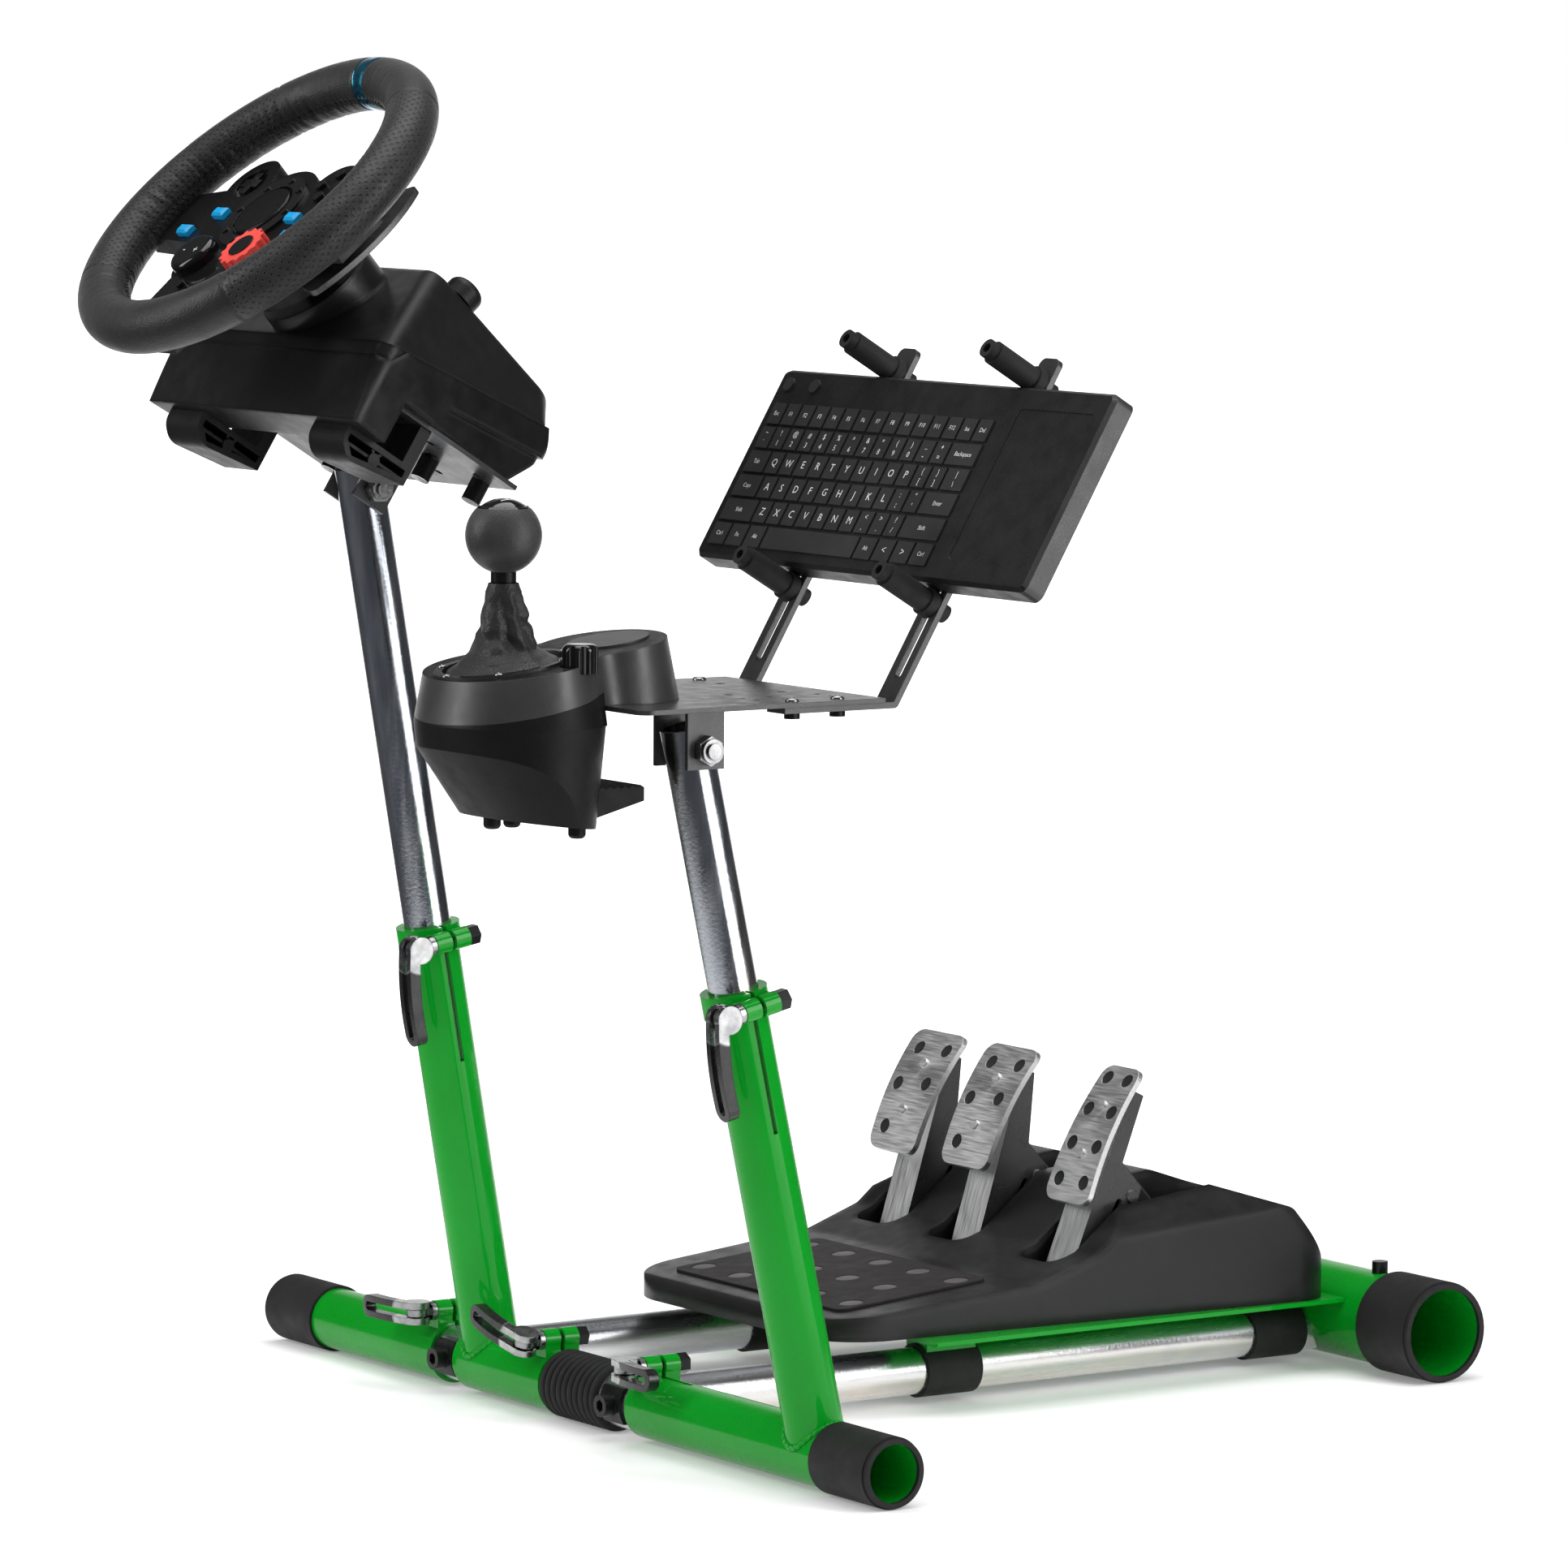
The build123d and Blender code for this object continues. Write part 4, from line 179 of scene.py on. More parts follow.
HEEL_DOT_ROWS = (5, 4, 5)
HEEL_DOT_STEPS = 40
HEEL_DOT_PROFILE = ((0.0, -0.1), (6.0, -0.15), (7.8, -0.3), (8.4, -0.5))

# Camera, fitted to the photograph's straight edges
CAMERA_AZIMUTH = 56.17496
CAMERA_ELEVATION = 5.72418
CAMERA_ROLL = 0.30041
CAMERA_PLACE = Vector((4441.506, -2742.656, 939.560))
FOCAL_PX = 9632.98
FRAME_PX = 1932
SENSOR = 36.0
CLIP_END = 50.0

# Finishes
EDGE_SAMPLES = 3
# Painted shade in narrow crevices, by ambient occlusion: samples, reach in millimetres and the dark colour
CREVICE_SAMPLES = 4
CREVICE_REACH = 5.0
CREVICE_SHADE_COLOUR = (0.05, 0.05, 0.048)
ZINC_TONES = ((0.30, 0.30, 0.31), (0.50, 0.50, 0.50))

# Studio, in metres
FLOOR_HALF = 60.0
FLOOR_COLOUR = (0.92, 0.92, 0.92)
ROOM_COLOUR = (0.055, 0.058, 0.064)
FLOOR_GLOW = 0.2
FLOOR_FADE = (0.75, 1.8)
ROOM_START = (0.45, 1.2)
WORLD_FILL = 0.55
ROOM_EDGE = (-0.95, -0.75, 0.85, 0.06)
SWEEP_TURN = 50.0
SWEEP_EDGE = (0.895, 0.93)
LIGHT_AIM = Vector((0.0, 0.0, 0.45))
TOP_BOX = ((0.0, 0.0, 3.2), (2.6, 2.6), 60.0)
SIDE_BOX_SIZE = (0.9, 2.2)
# Side boxes: place to the front, right and up, and power
SIDE_BOXES = {"left_box": ((0.5, -2.7, 1.6), 30.0), "right_box": ((1.5, 2.5, 1.3), 38.0)}

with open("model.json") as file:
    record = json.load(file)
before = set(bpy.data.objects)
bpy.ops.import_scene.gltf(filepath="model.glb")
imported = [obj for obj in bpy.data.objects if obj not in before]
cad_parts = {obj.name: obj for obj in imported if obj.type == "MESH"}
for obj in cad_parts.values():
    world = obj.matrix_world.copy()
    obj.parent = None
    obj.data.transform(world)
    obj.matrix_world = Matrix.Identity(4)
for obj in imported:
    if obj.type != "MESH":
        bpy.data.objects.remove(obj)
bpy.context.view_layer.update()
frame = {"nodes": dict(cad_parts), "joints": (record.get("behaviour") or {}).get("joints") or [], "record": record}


def middle(node):
    """Centre of a CAD node's box, in the row frame."""
    low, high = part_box(node)
    return (low + high) / 2


DESIGN_SHIFT = middle("cross_tube") - CROSS_TUBE_MID * MM
PIVOTS = {joint["name"]: Vector(joint["pos_m"]) for joint in frame["joints"] if "pos_m" in joint}
DECK_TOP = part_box("deck_plate")[1].z / MM


def local(x, y, z, tilt=0.0):
    """Matrix from a design frame, tilted about X and in millimetres, to the row frame."""
    place = Vector((x, y, z)) * MM + DESIGN_SHIFT
    return Matrix.Translation(place) @ Matrix.Rotation(radians(tilt), 4, "X") @ Matrix.Scale(MM, 4)


WHEEL = Matrix.Translation(middle("rim")) @ Matrix.Rotation(radians(WHEEL_LEAN), 4, "X") @ Matrix.Scale(MM, 4)
KEYBOARD = local(0.0, ARM_BEND_Y, DECK_TOP - DECK_THICK, ARM_PITCH)
SHIFTER = local(*SHIFTER_PLACE, DECK_TOP)


class Finish:
    """Node material: one Principled shader with procedural colour, roughness and relief."""

    def __init__(self, name, edge=0.0, **sockets):
        self.material = bpy.data.materials.new(name)
        self.material.use_nodes = True
        self.tree = self.material.node_tree
        self.shader = self.tree.nodes["Principled BSDF"]
        for socket, value in sockets.items():
            self.shader.inputs[socket.replace("_", " ")].default_value = value
        if edge:
            rounded = self.node("ShaderNodeBevel", Radius=edge * MM)
            rounded.samples = EDGE_SAMPLES
            self.tree.links.new(rounded.outputs["Normal"], self.shader.inputs["Normal"])

    def node(self, kind, **inputs):
        """New node with its inputs set or linked."""
        made = self.tree.nodes.new(kind)
        for socket, value in inputs.items():
            self.feed(made.inputs[socket.replace("_", " ")], value)
        return made

    def feed(self, socket, value):
        """Link an output to a socket, or set the socket to a plain value."""
        if isinstance(value, bpy.types.NodeSocket):
            self.tree.links.new(value, socket)
        else:
            socket.default_value = value

    def place(self, stretch=(1.0, 1.0, 1.0), turn=0.0):
        """Texture place, turned about X and stretched along its own axes."""
        at = self.node("ShaderNodeTexCoord").outputs["Object"]
        mapping = self.node("ShaderNodeMapping", Vector=at, Rotation=(radians(turn), 0.0, 0.0), Scale=stretch)
        return mapping.outputs["Vector"]

    def noise(self, vector, scale, detail=4.0):
        """Cloudy value from 0 to 1."""
        return self.node("ShaderNodeTexNoise", Vector=vector, Scale=scale, Detail=detail).outputs["Fac"]

    def cells(self, vector, scale):
        """Smooth pebbled value."""
        made = self.node("ShaderNodeTexVoronoi", Vector=vector, Scale=scale)
        made.feature = "SMOOTH_F1"
        return made.outputs["Distance"]

    def vector(self, operation, *values):
        """Outputs of a vector operation."""
        made = self.node("ShaderNodeVectorMath")
        made.operation = operation
        for socket, value in zip(made.inputs, values):
            self.feed(socket, value)
        return made.outputs

    def math(self, operation, *values):
        """Result of an operation on numbers."""
        made = self.node("ShaderNodeMath")
        made.operation = operation
        for socket, value in zip(made.inputs, values):
            self.feed(socket, value)
        return made.outputs[0]

    def spread(self, value, low, high, start=0.3, end=0.7):
        """Value moved from a source range to another range, held at its ends."""
        made = self.node("ShaderNodeMapRange", Value=value,
                         From_Min=start, From_Max=end, To_Min=low, To_Max=high)
        return made.outputs["Result"]

    def tint(self, value, dark, light, start=0.3, end=0.7):
        """Colour between two ends, by a value."""
        ramp = self.node("ShaderNodeValToRGB", Fac=value)
        for stop, place, colour in zip(ramp.color_ramp.elements, (start, end), (dark, light)):
            stop.position = place
            stop.color = (*colour, 1.0)
        return ramp.outputs["Color"]

    def mix(self, mask, first, second):
        """Colour that goes from one input to another by a mask."""
        made = self.tree.nodes.new("ShaderNodeMix")
        made.data_type = "RGBA"
        self.feed(made.inputs["Factor"], mask)
        for name, value in (("A", first), ("B", second)):
            socket = [s for s in made.inputs if s.name == name and s.type == "RGBA"][0]
            self.feed(socket, value if isinstance(value, bpy.types.NodeSocket) else (*value, 1.0))
        return [s for s in made.outputs if s.type == "RGBA"][0]

    def set(self, socket, value):
        """Set or link an input of the shader."""
        self.feed(self.shader.inputs[socket], value)

    def relief(self, height, depth):
        """Bump of a depth in millimetres, on top of any bump that is there."""
        bump = self.node("ShaderNodeBump", Height=height, Distance=depth * MM, Strength=1.0)
        before = self.shader.inputs["Normal"].links
        if before:
            self.tree.links.new(before[0].from_socket, bump.inputs["Normal"])
        self.tree.links.new(bump.outputs["Normal"], self.shader.inputs["Normal"])

    def within(self, centre, radius, soft):
        """Mask that is 1 inside a ball about a point of the row frame, with a soft edge in millimetres."""
        at = self.node("ShaderNodeTexCoord").outputs["Object"]
        away = self.vector("DISTANCE", at, tuple(centre))["Value"]
        edge = radius * MM
        return self.spread(away, 1.0, 0.0, edge - soft * MM, edge + soft * MM)

    def crevice_shade(self, colour):
        """Colour with painted shade that darkens it in narrow crevices, by ambient occlusion."""
        open_share = self.node("ShaderNodeAmbientOcclusion", Distance=CREVICE_REACH * MM)
        open_share.samples = CREVICE_SAMPLES
        return self.mix(self.spread(open_share.outputs["AO"], 0.0, 1.0, 0.25, 0.85), CREVICE_SHADE_COLOUR, colour)


def moulded(name, colour, rough, grain, depth, edge=0.8, **sockets):
    """Moulded plastic or coated metal: a fine grain, slight shade changes and finger-worn gloss."""
    made = Finish(name, edge, **{"Specular_IOR_Level": 0.35, **sockets})
    at = made.place()
    broad = made.noise(at, 22.0, detail=3.0)
    made.set("Base Color", made.tint(broad, [c * 0.82 for c in colour], [c * 1.15 for c in colour]))
    made.set("Roughness", made.spread(made.noise(at, 75.0), *rough))
    made.relief(made.cells(at, grain), depth)
    return made.material


def green_paint():
    """Gloss powder coat with faint orange peel."""
    made = Finish("green_paint", 1.0, Coat_Weight=0.45, Coat_Roughness=0.03, Specular_IOR_Level=0.05)
    at = made.place()
    made.set("Base Color", made.tint(made.noise(at, 9.0), (0.001, 0.27, 0.012), (0.002, 0.34, 0.02)))
    made.set("Roughness", made.spread(made.noise(at, 45.0), 0.22, 0.36))
    made.relief(made.noise(at, 520.0, detail=2.0), 0.035)
    return made.material


def plated_tube(name, stretch, rough, turn=0.0):
    """Plated tube with drawn streaks along its run, fine pitting and blue and straw tints."""
    made = Finish(name, Metallic=1.0)
    at = made.place(stretch, turn)
    streaks = made.noise(at, 140.0, detail=6.0)
    tints = made.tint(made.noise(at, 26.0), (0.60, 0.66, 0.76), (0.88, 0.79, 0.71), 0.4, 0.62)
    bright = made.tint(streaks, (0.60, 0.61, 0.63), (0.86, 0.86, 0.86), 0.35, 0.6)
    made.set("Base Color", made.mix(made.noise(made.place(), 60.0), bright, tints))
    made.set("Roughness", made.spread(streaks, *rough))
    made.relief(made.noise(made.place(), 420.0, detail=6.0), 0.09)
    return made.material


def zinc():
    """Zinc-plated hardware, with painted shade in its crevices."""
    made = Finish("zinc", 0.5, Metallic=1.0)
    at = made.place()
    # Base colour with painted shade in narrow crevices
    made.set("Base Color", made.crevice_shade(made.tint(made.noise(at, 120.0), *ZINC_TONES)))
    made.set("Roughness", made.spread(made.noise(at, 300.0), 0.2, 0.38))
    made.relief(made.noise(at, 900.0), 0.03)
    return made.material


def brushed(name, stretch, dark, light, turn=0.0):
    """Brushed stainless steel, with the brush marks along one direction."""
    made = Finish(name, 0.8, Metallic=1.0, Anisotropic=0.4)
    at = made.place(stretch, turn)
    marks = made.noise(at, 900.0, detail=3.0)
    made.set("Base Color", made.tint(marks, dark, light))
    made.set("Roughness", made.spread(marks, 0.34, 0.5))
    made.relief(marks, 0.02)
    return made.material


def leather(name, dark=0.0115, grain_depth=0.22, punched=False):
    """Black hide: pebbled grain, fine creases, and rows of punched holes where it is perforated, with painted
    shade in the holes.
    """
    made = Finish(name, Sheen_Weight=0.08, Specular_IOR_Level=0.4)
    at = made.place()
    grain = made.cells(at, 950.0)
    made.set("Roughness", made.spread(made.noise(at, 60.0), 0.36, 0.52))
    deep = (dark, dark * 0.97, dark * 0.97)
    worn = [dark * c for c in (1.8, 1.76, 1.74)]
    shade = made.tint(made.noise(at, 35.0), deep, worn)
    made.relief(grain, grain_depth)
    made.relief(made.noise(at, 210.0, detail=5.0), grain_depth)
    if punched:
        across = made.node("ShaderNodeTexCoord").outputs["UV"]
        turned = made.node("ShaderNodeMapping", Vector=across, Rotation=(0.0, 0.0, pi / 4))
        split = made.node("ShaderNodeSeparateXYZ", Vector=turned.outputs["Vector"])
        offsets = [made.math("SUBTRACT", made.math("FRACT", split.outputs[axis]), 0.5) for axis in ("X", "Y")]
        squares = [made.math("MULTIPLY", off, off) for off in offsets]
        away = made.math("SQRT", made.math("ADD", *squares))
        hole = made.spread(away, 1.0, 0.0, 0.17, 0.26)
        # The punched holes are painted near-black: painted shade inside the holes
        shade = made.mix(hole, shade, (0.0015, 0.0015, 0.0015))
        made.relief(made.math("SUBTRACT", 1.0, hole), 0.4)
    made.set("Base Color", shade)
    return made.material


def blue_band():
    """Anodised blue band round the rim."""
    made = Finish("rim_band", Metallic=0.9, Coat_Weight=0.4)
    at = made.place()
    made.set("Base Color", made.tint(made.noise(at, 90.0), (0.012, 0.13, 0.23), (0.03, 0.30, 0.44)))
    made.set("Roughness", made.spread(made.noise(at, 400.0), 0.16, 0.3))
    return made.material


def dipped_lever(node, pivot):
    """Lever with bare plated cam cheeks, painted shade in the cheeks' crevices, and a vinyl-dipped handle."""
    made = Finish(f"dipped_{node}", 0.9)
    at = made.place()
    bare = made.within(pivot, CAM_METAL_R, DIP_EDGE)
    # Colour of the bare cheeks, with painted shade in narrow crevices
    steel = made.crevice_shade(made.tint(made.noise(at, 150.0), *ZINC_TONES))
    vinyl = made.tint(made.noise(at, 60.0), (0.008, 0.008, 0.008), (0.018, 0.018, 0.018))
    made.set("Base Color", made.mix(bare, vinyl, steel))
    made.set("Metallic", bare)
    made.set("Roughness", made.spread(made.noise(at, 110.0), 0.16, 0.32))
    made.relief(made.noise(at, 330.0), 0.08)
    return made.material


BLACK = (0.008, 0.008, 0.0083)
FINISHES = {
    "green_paint": green_paint(),
    "zinc": zinc(),
    "black_bolt": moulded("black_bolt", (0.016, 0.016, 0.017), (0.24, 0.4), 900.0, 0.02, Metallic=0.5),
    "dark_steel": moulded("dark_steel", (0.030, 0.030, 0.030), (0.24, 0.36), 1500.0, 0.03,
                          Specular_IOR_Level=0.75),
    "paddle_metal": brushed("paddle_metal", (0.06, 1.0, 1.0), (0.10, 0.10, 0.10), (0.20, 0.20, 0.20)),
    "black_rubber": moulded("black_rubber", (0.015, 0.015, 0.015), (0.62, 0.8), 1100.0, 0.06),
    "black_plastic": moulded("black_plastic", BLACK, (0.36, 0.52), 1700.0, 0.09),
    "base_plastic": moulded("base_plastic", BLACK, (0.28, 0.4), 1500.0, 0.06, edge=9.0,
                            Specular_IOR_Level=0.4),
    "housing_plastic": moulded("housing_plastic", BLACK, (0.28, 0.4), 1700.0, 0.05, edge=4.5,
                               Specular_IOR_Level=0.5),
    "dim_plastic": moulded("dim_plastic", BLACK, (0.36, 0.5), 1500.0, 0.09, Specular_IOR_Level=0.16),
    "satin_plastic": moulded("satin_plastic", (0.007, 0.007, 0.0073), (0.2, 0.32), 2200.0, 0.02,
                             Specular_IOR_Level=0.22),
    "shell_plastic": moulded("shell_plastic", (0.036, 0.036, 0.036), (0.3, 0.42), 1900.0, 0.05,
                             Specular_IOR_Level=0.6),
    "gloss_plastic": moulded("gloss_plastic", (0.007, 0.007, 0.0075), (0.07, 0.16), 500.0, 0.008,
                             Coat_Weight=0.5),
    "dark_gloss": moulded("dark_gloss", (0.005, 0.005, 0.0055), (0.08, 0.18), 500.0, 0.008,
                          Specular_IOR_Level=0.02),
    "key_cap": moulded("key_cap", (0.027, 0.027, 0.028), (0.3, 0.42), 1800.0, 0.03),
    "blue_button": moulded("blue_button", (0.005, 0.36, 0.74), (0.18, 0.3), 900.0, 0.015, Coat_Weight=0.3),
    "red_dial": moulded("red_dial", (0.86, 0.075, 0.06), (0.34, 0.48), 1300.0, 0.06),
    "heel_dot": moulded("heel_dot", (0.105, 0.10, 0.098), (0.42, 0.58), 1500.0, 0.05),
    "heel_mat": moulded("heel_mat", (0.024, 0.021, 0.021), (0.6, 0.75), 1300.0, 0.09),
    "legend": moulded("legend", (0.62, 0.62, 0.62), (0.5, 0.6), 900.0, 0.01),
    "stainless": brushed("stainless", (0.06, 1.0, 1.0), (0.72, 0.72, 0.72), (0.92, 0.92, 0.92)),
    "arm_plate": brushed("arm_plate", (1.0, 0.06, 0.06), (0.60, 0.60, 0.61), (0.86, 0.86, 0.86)),
    "leather": leather("leather"),
    "leather_punched": leather("leather_punched", punched=True),
    "boot_leather": leather("boot_leather", dark=0.014, grain_depth=0.35),
    "ball_leather": leather("ball_leather", dark=0.024, grain_depth=0.16),
    "rim_band": blue_band(),
    "thread": moulded("thread", (0.034, 0.034, 0.034), (0.55, 0.7), 1600.0, 0.05),
}


def dress(node, *names, choose=None):
    """Give a CAD node its finishes. A choice picks one for each face from its middle and normal."""
    mesh = frame["nodes"][node].data
    mesh.materials.clear()
    for name in names:
        mesh.materials.append(FINISHES[name] if isinstance(name, str) else name)
    if choose:
        for face in mesh.polygons:
            face.material_index = choose(face.center, face.normal)


def dress_by_slot():
    """Start every CAD node with the finish of its record slot."""
    for sub in frame["record"]["subparts"]:
        slot = sub["material_slot"]
        dress(sub["node"], slot if slot in FINISHES else "black_plastic")


def hub_face(centre, normal):
    """Finish of a hub face: gloss ring, dish, spigot and low spoke, satin elsewhere on the face."""
    x, y, z = WHEEL.inverted() @ centre
    away = hypot(x, y)
    if z < HUB_FACE - 3.0:
        return 0
    in_dish = hypot(x - DPAD_CENTRE[0], y - DPAD_CENTRE[1]) < DISH_R + 1.0
    on_spigot = hypot(x - DIAL_CENTRE[0], y - DIAL_CENTRE[1]) < DIAL_SPIGOT_R + 0.5
    on_ring = TRIM_RING[1] - 0.5 < away < TRIM_RING[0] + 0.5 and z > HUB_FACE + 0.1
    return 2 if in_dish or on_spigot or on_ring or y < LOW_SPOKE_Y else 1


def pedal_arm_face(name):
    """Finish of a pedal arm's face: bright front plate, dark flanges, black spring sleeve."""
    axis = Vector((0.0, SPRING_END[0] - SPRING_TOP[0], SPRING_END[1] - SPRING_TOP[1])).normalized()
    top = local(PEDAL_X[name], *SPRING_TOP).translation

    def choose(centre, normal):
        arm = centre - top
        along = arm.dot(axis)
        off_axis = (arm - axis * along).length
        if along > -0.001 and off_axis < SPRING_R * MM + 0.0005:
            return 2
        return 1 if abs(normal.x) > 0.7 else 0
    return choose


def keyboard_face(centre, normal):
    """Finish of a keyboard face: key caps stand above the slab, and the ends are smoother."""
    z = (KEYBOARD.inverted() @ centre).z
    if abs(normal.x) > 0.6 and z < KEYBOARD_SIZE[2]:
        return 2
    return 1 if z > KEYBOARD_SIZE[2] + 0.2 else 0


def lever_face(centre, normal):
    """Finish of a gear-lever face: leather ball, gloss cap, satin collar."""
    z = (SHIFTER.inverted() @ centre).z
    if z > BALL_Z + BALL_CAP - 0.9:
        return 1
    return 0 if z > BALL_Z - BALL_R - 0.5 else 2


def shifter_top_face(centre, normal):
    """Finish of an upper shell face: gloss ring and window, grained sides."""
    x, y, z = SHIFTER.inverted() @ centre
    (y0, z0), (y1, z1) = SHIFTER_TOP
    proud = z > z0 + (y - y0) * (z1 - z0) / (y1 - y0) + 0.6
    if normal.z > 0.9:
        return 1 if proud else 2
    return 0


def fitting_face(centre, normal):
    """Finish of a shifter fitting's face: gloss knobs above their seats, grained feet and jaw."""
    return 1 if (SHIFTER.inverted() @ centre).z > KNOB_SEAT_Z - 0.5 else 0


def clamp_bolt_face(centre, normal):
    """Finish of a clamp bolt's face: black hexagon at the far end, bright elsewhere."""
    away = min((centre - PIVOTS[f"{name}_clamp"]).length for name in CLAMPS)
    return 1 if away > BOLT_HEAD_AWAY * MM else 0


def bolt_face(joint):
    """Finish of a bolt set's face: bright tilt bolt on the joint's axis, black bolts elsewhere."""
    def choose(centre, normal):
        away = centre - PIVOTS[joint]
        return 0 if hypot(away.y, away.z) < TILT_BOLT_R * MM else 1
    return choose


def dress_nodes():
    """Finishes of the CAD nodes that need more than their slot's one."""
    dress_by_slot()
    dress("cross_tube", plated_tube("plated_x", (0.04, 1.0, 1.0), SATIN_PLATE))
    dress("long_tubes", plated_tube("plated_y", (1.0, 0.04, 1.0), SATIN_PLATE))
    for node, post in (("wheel_mast", "main_post"), ("side_mast", "side_post")):
        dress(node, plated_tube(f"plated_{node}", (1.0, 1.0, 0.04), BRIGHT_PLATE, -POSTS[post][1]))
    for name in CLAMPS:
        dress(f"{name}_lever", dipped_lever(f"{name}_lever", PIVOTS[f"{name}_clamp"]))
    for node in ("left_clamp_bolt", "main_clamp_bolts", "side_clamp_bolts"):
        dress(node, "zinc", "black_bolt", choose=clamp_bolt_face)
    dress("left_paddle", "paddle_metal")
    dress("right_paddle", "paddle_metal")
    dress("wheel_plate_bolts", "zinc", "black_bolt", choose=bolt_face("wheel_tilt"))
    dress("deck_bolts", "zinc", "black_bolt", choose=bolt_face("deck_tilt"))
    dress("hub", "black_plastic", "satin_plastic", "gloss_plastic", choose=hub_face)
    dress("hub_keys", "gloss_plastic")
    dress("housing_lower", "housing_plastic")
    dress("housing_upper", "housing_plastic")
    dress("pedal_base", "base_plastic")
    dress("wheel_clamps", "black_plastic")
    dress("keyboard", "black_plastic", "key_cap", "shell_plastic", choose=keyboard_face)
    dress("keyboard_pegs", "black_rubber")
    dress("shift_lever", "ball_leather", "gloss_plastic", "satin_plastic", choose=lever_face)
    dress("shifter_body", "dim_plastic")
    dress("shifter_top", "shell_plastic", "dark_gloss", "dim_plastic", choose=shifter_top_face)
    dress("shifter_fittings", "dim_plastic", "gloss_plastic", choose=fitting_face)
    dress("heel_pad", "heel_mat")
    for name in PEDAL_X:
        dress(f"{name}_pedal", "arm_plate", "dark_steel", "black_plastic", choose=pedal_arm_face(name))


class Shape:
    """Mesh under construction: points in the row frame, faces and the finish of each face."""

    def __init__(self):
        self.points = []
        self.faces = []
        self.finish = []

    def add(self, points, faces, matrix):
        """Take in points and faces from another frame, in the first finish."""
        start = len(self.points)
        self.points += [matrix @ Vector(p) for p in points]
        self.faces += [[start + i for i in face] for face in faces]
        self.finish += [0] * len(faces)

    def piece(self, name, body, slot, *finishes):
        """Object of this shape, on a body where one is given."""
        mesh = bpy.data.meshes.new(name)
        mesh.from_pydata(self.points, [], self.faces)
        for finish in finishes:
            mesh.materials.append(FINISHES[finish])
        mesh.polygons.foreach_set("material_index", self.finish)
        mesh.polygons.foreach_set("use_smooth", [True] * len(self.faces))
        mesh.update()
        made = bpy.data.objects.new(name, mesh)
        bpy.context.scene.collection.objects.link(made)
        if body:
            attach(made, body)
        return made


def lattice(rows, columns, wrap_rows=False, wrap_columns=True):
    """Quads over a grid of points, row by row."""
    faces = []
    for i in range(rows if wrap_rows else rows - 1):
        for j in range(columns if wrap_columns else columns - 1):
            down, across = (i + 1) % rows, (j + 1) % columns
            faces.append([i * columns + j, i * columns + across, down * columns + across, down * columns + j])
    return faces


def turned(profile, steps=32):
    """Round form from a list of radius and height, closed on the axis where a radius is 0."""
    points, faces = [], lattice(len(profile), steps)
    for radius, z in profile:
        for j in range(steps):
            turn = 2 * pi * j / steps
            points.append((radius * cos(turn), radius * sin(turn), z))
    return points, faces


def bead(start, end, radius, sides=8, rings=6):
    """Round-ended thread between two points."""
    start, end = Vector(start), Vector(end)
    axis = (end - start).normalized()
    side = axis.orthogonal().normalized()
    other = axis.cross(side)
    points = []
    for i in range(rings + 1):
        share = i / rings
        wide = radius * sqrt(max(0.0, 1.0 - (2 * share - 1) ** 2))
        for j in range(sides):
            turn = 2 * pi * j / sides
            points.append(start + (end - start) * share + (side * cos(turn) + other * sin(turn)) * wide)
    return points, lattice(rings + 1, sides)


def rim_point(turn, girth, proud=0.0):
    """Point of the rim's skin: turn round the wheel, girth round the section from its inner seam."""
    out = RIM_R - (RIM_SECTION_R + proud) * cos(girth)
    return out * cos(turn), out * sin(turn), (RIM_SECTION_R + proud) * sin(girth)


def groove(offset, depth, half):
    """Depth of a smooth groove at an offset from its middle."""
    return depth * exp(-(offset / half) ** 2)


def rim_relief(turn, girth):
    """Height of the leather over the plain section: seams, puckers, creases and the band's edges."""
    arc = turn * RIM_R
    off_seam = girth * RIM_SECTION_R
    height = -groove(off_seam, *SEAM_GROOVE)
    pull = 0.5 + 0.5 * cos(2 * pi * arc / STITCH_PITCH)
    height -= pull * groove(abs(off_seam) - PUCKER_OFF, *PUCKER_GROOVE)
    crease = noise.noise(Vector((arc / CREASE_SCALE[0], off_seam / CREASE_SCALE[1], 2.0)))
    height -= max(0.0, crease) * groove(off_seam, *CREASE_GROOVE)
    for seam in RIM_SEAMS:
        height -= groove(arc - radians(seam) * RIM_R, *CROSS_SEAM_GROOVE)
    edge = abs(arc - radians(RIM_BAND) * RIM_R) - RIM_BAND_HALF
    return height - groove(edge, *BAND_GROOVE)


def rim_finish(turn):
    """Finish of a stretch of the rim: band on top, punched leather at the sides, plain between."""
    angle = degrees(turn)
    if abs(angle - RIM_BAND) < degrees(RIM_BAND_HALF / RIM_R):
        return 2
    return 1 if angle < RIM_SEAMS[1] or RIM_SEAMS[2] < angle < RIM_SEAMS[3] else 0


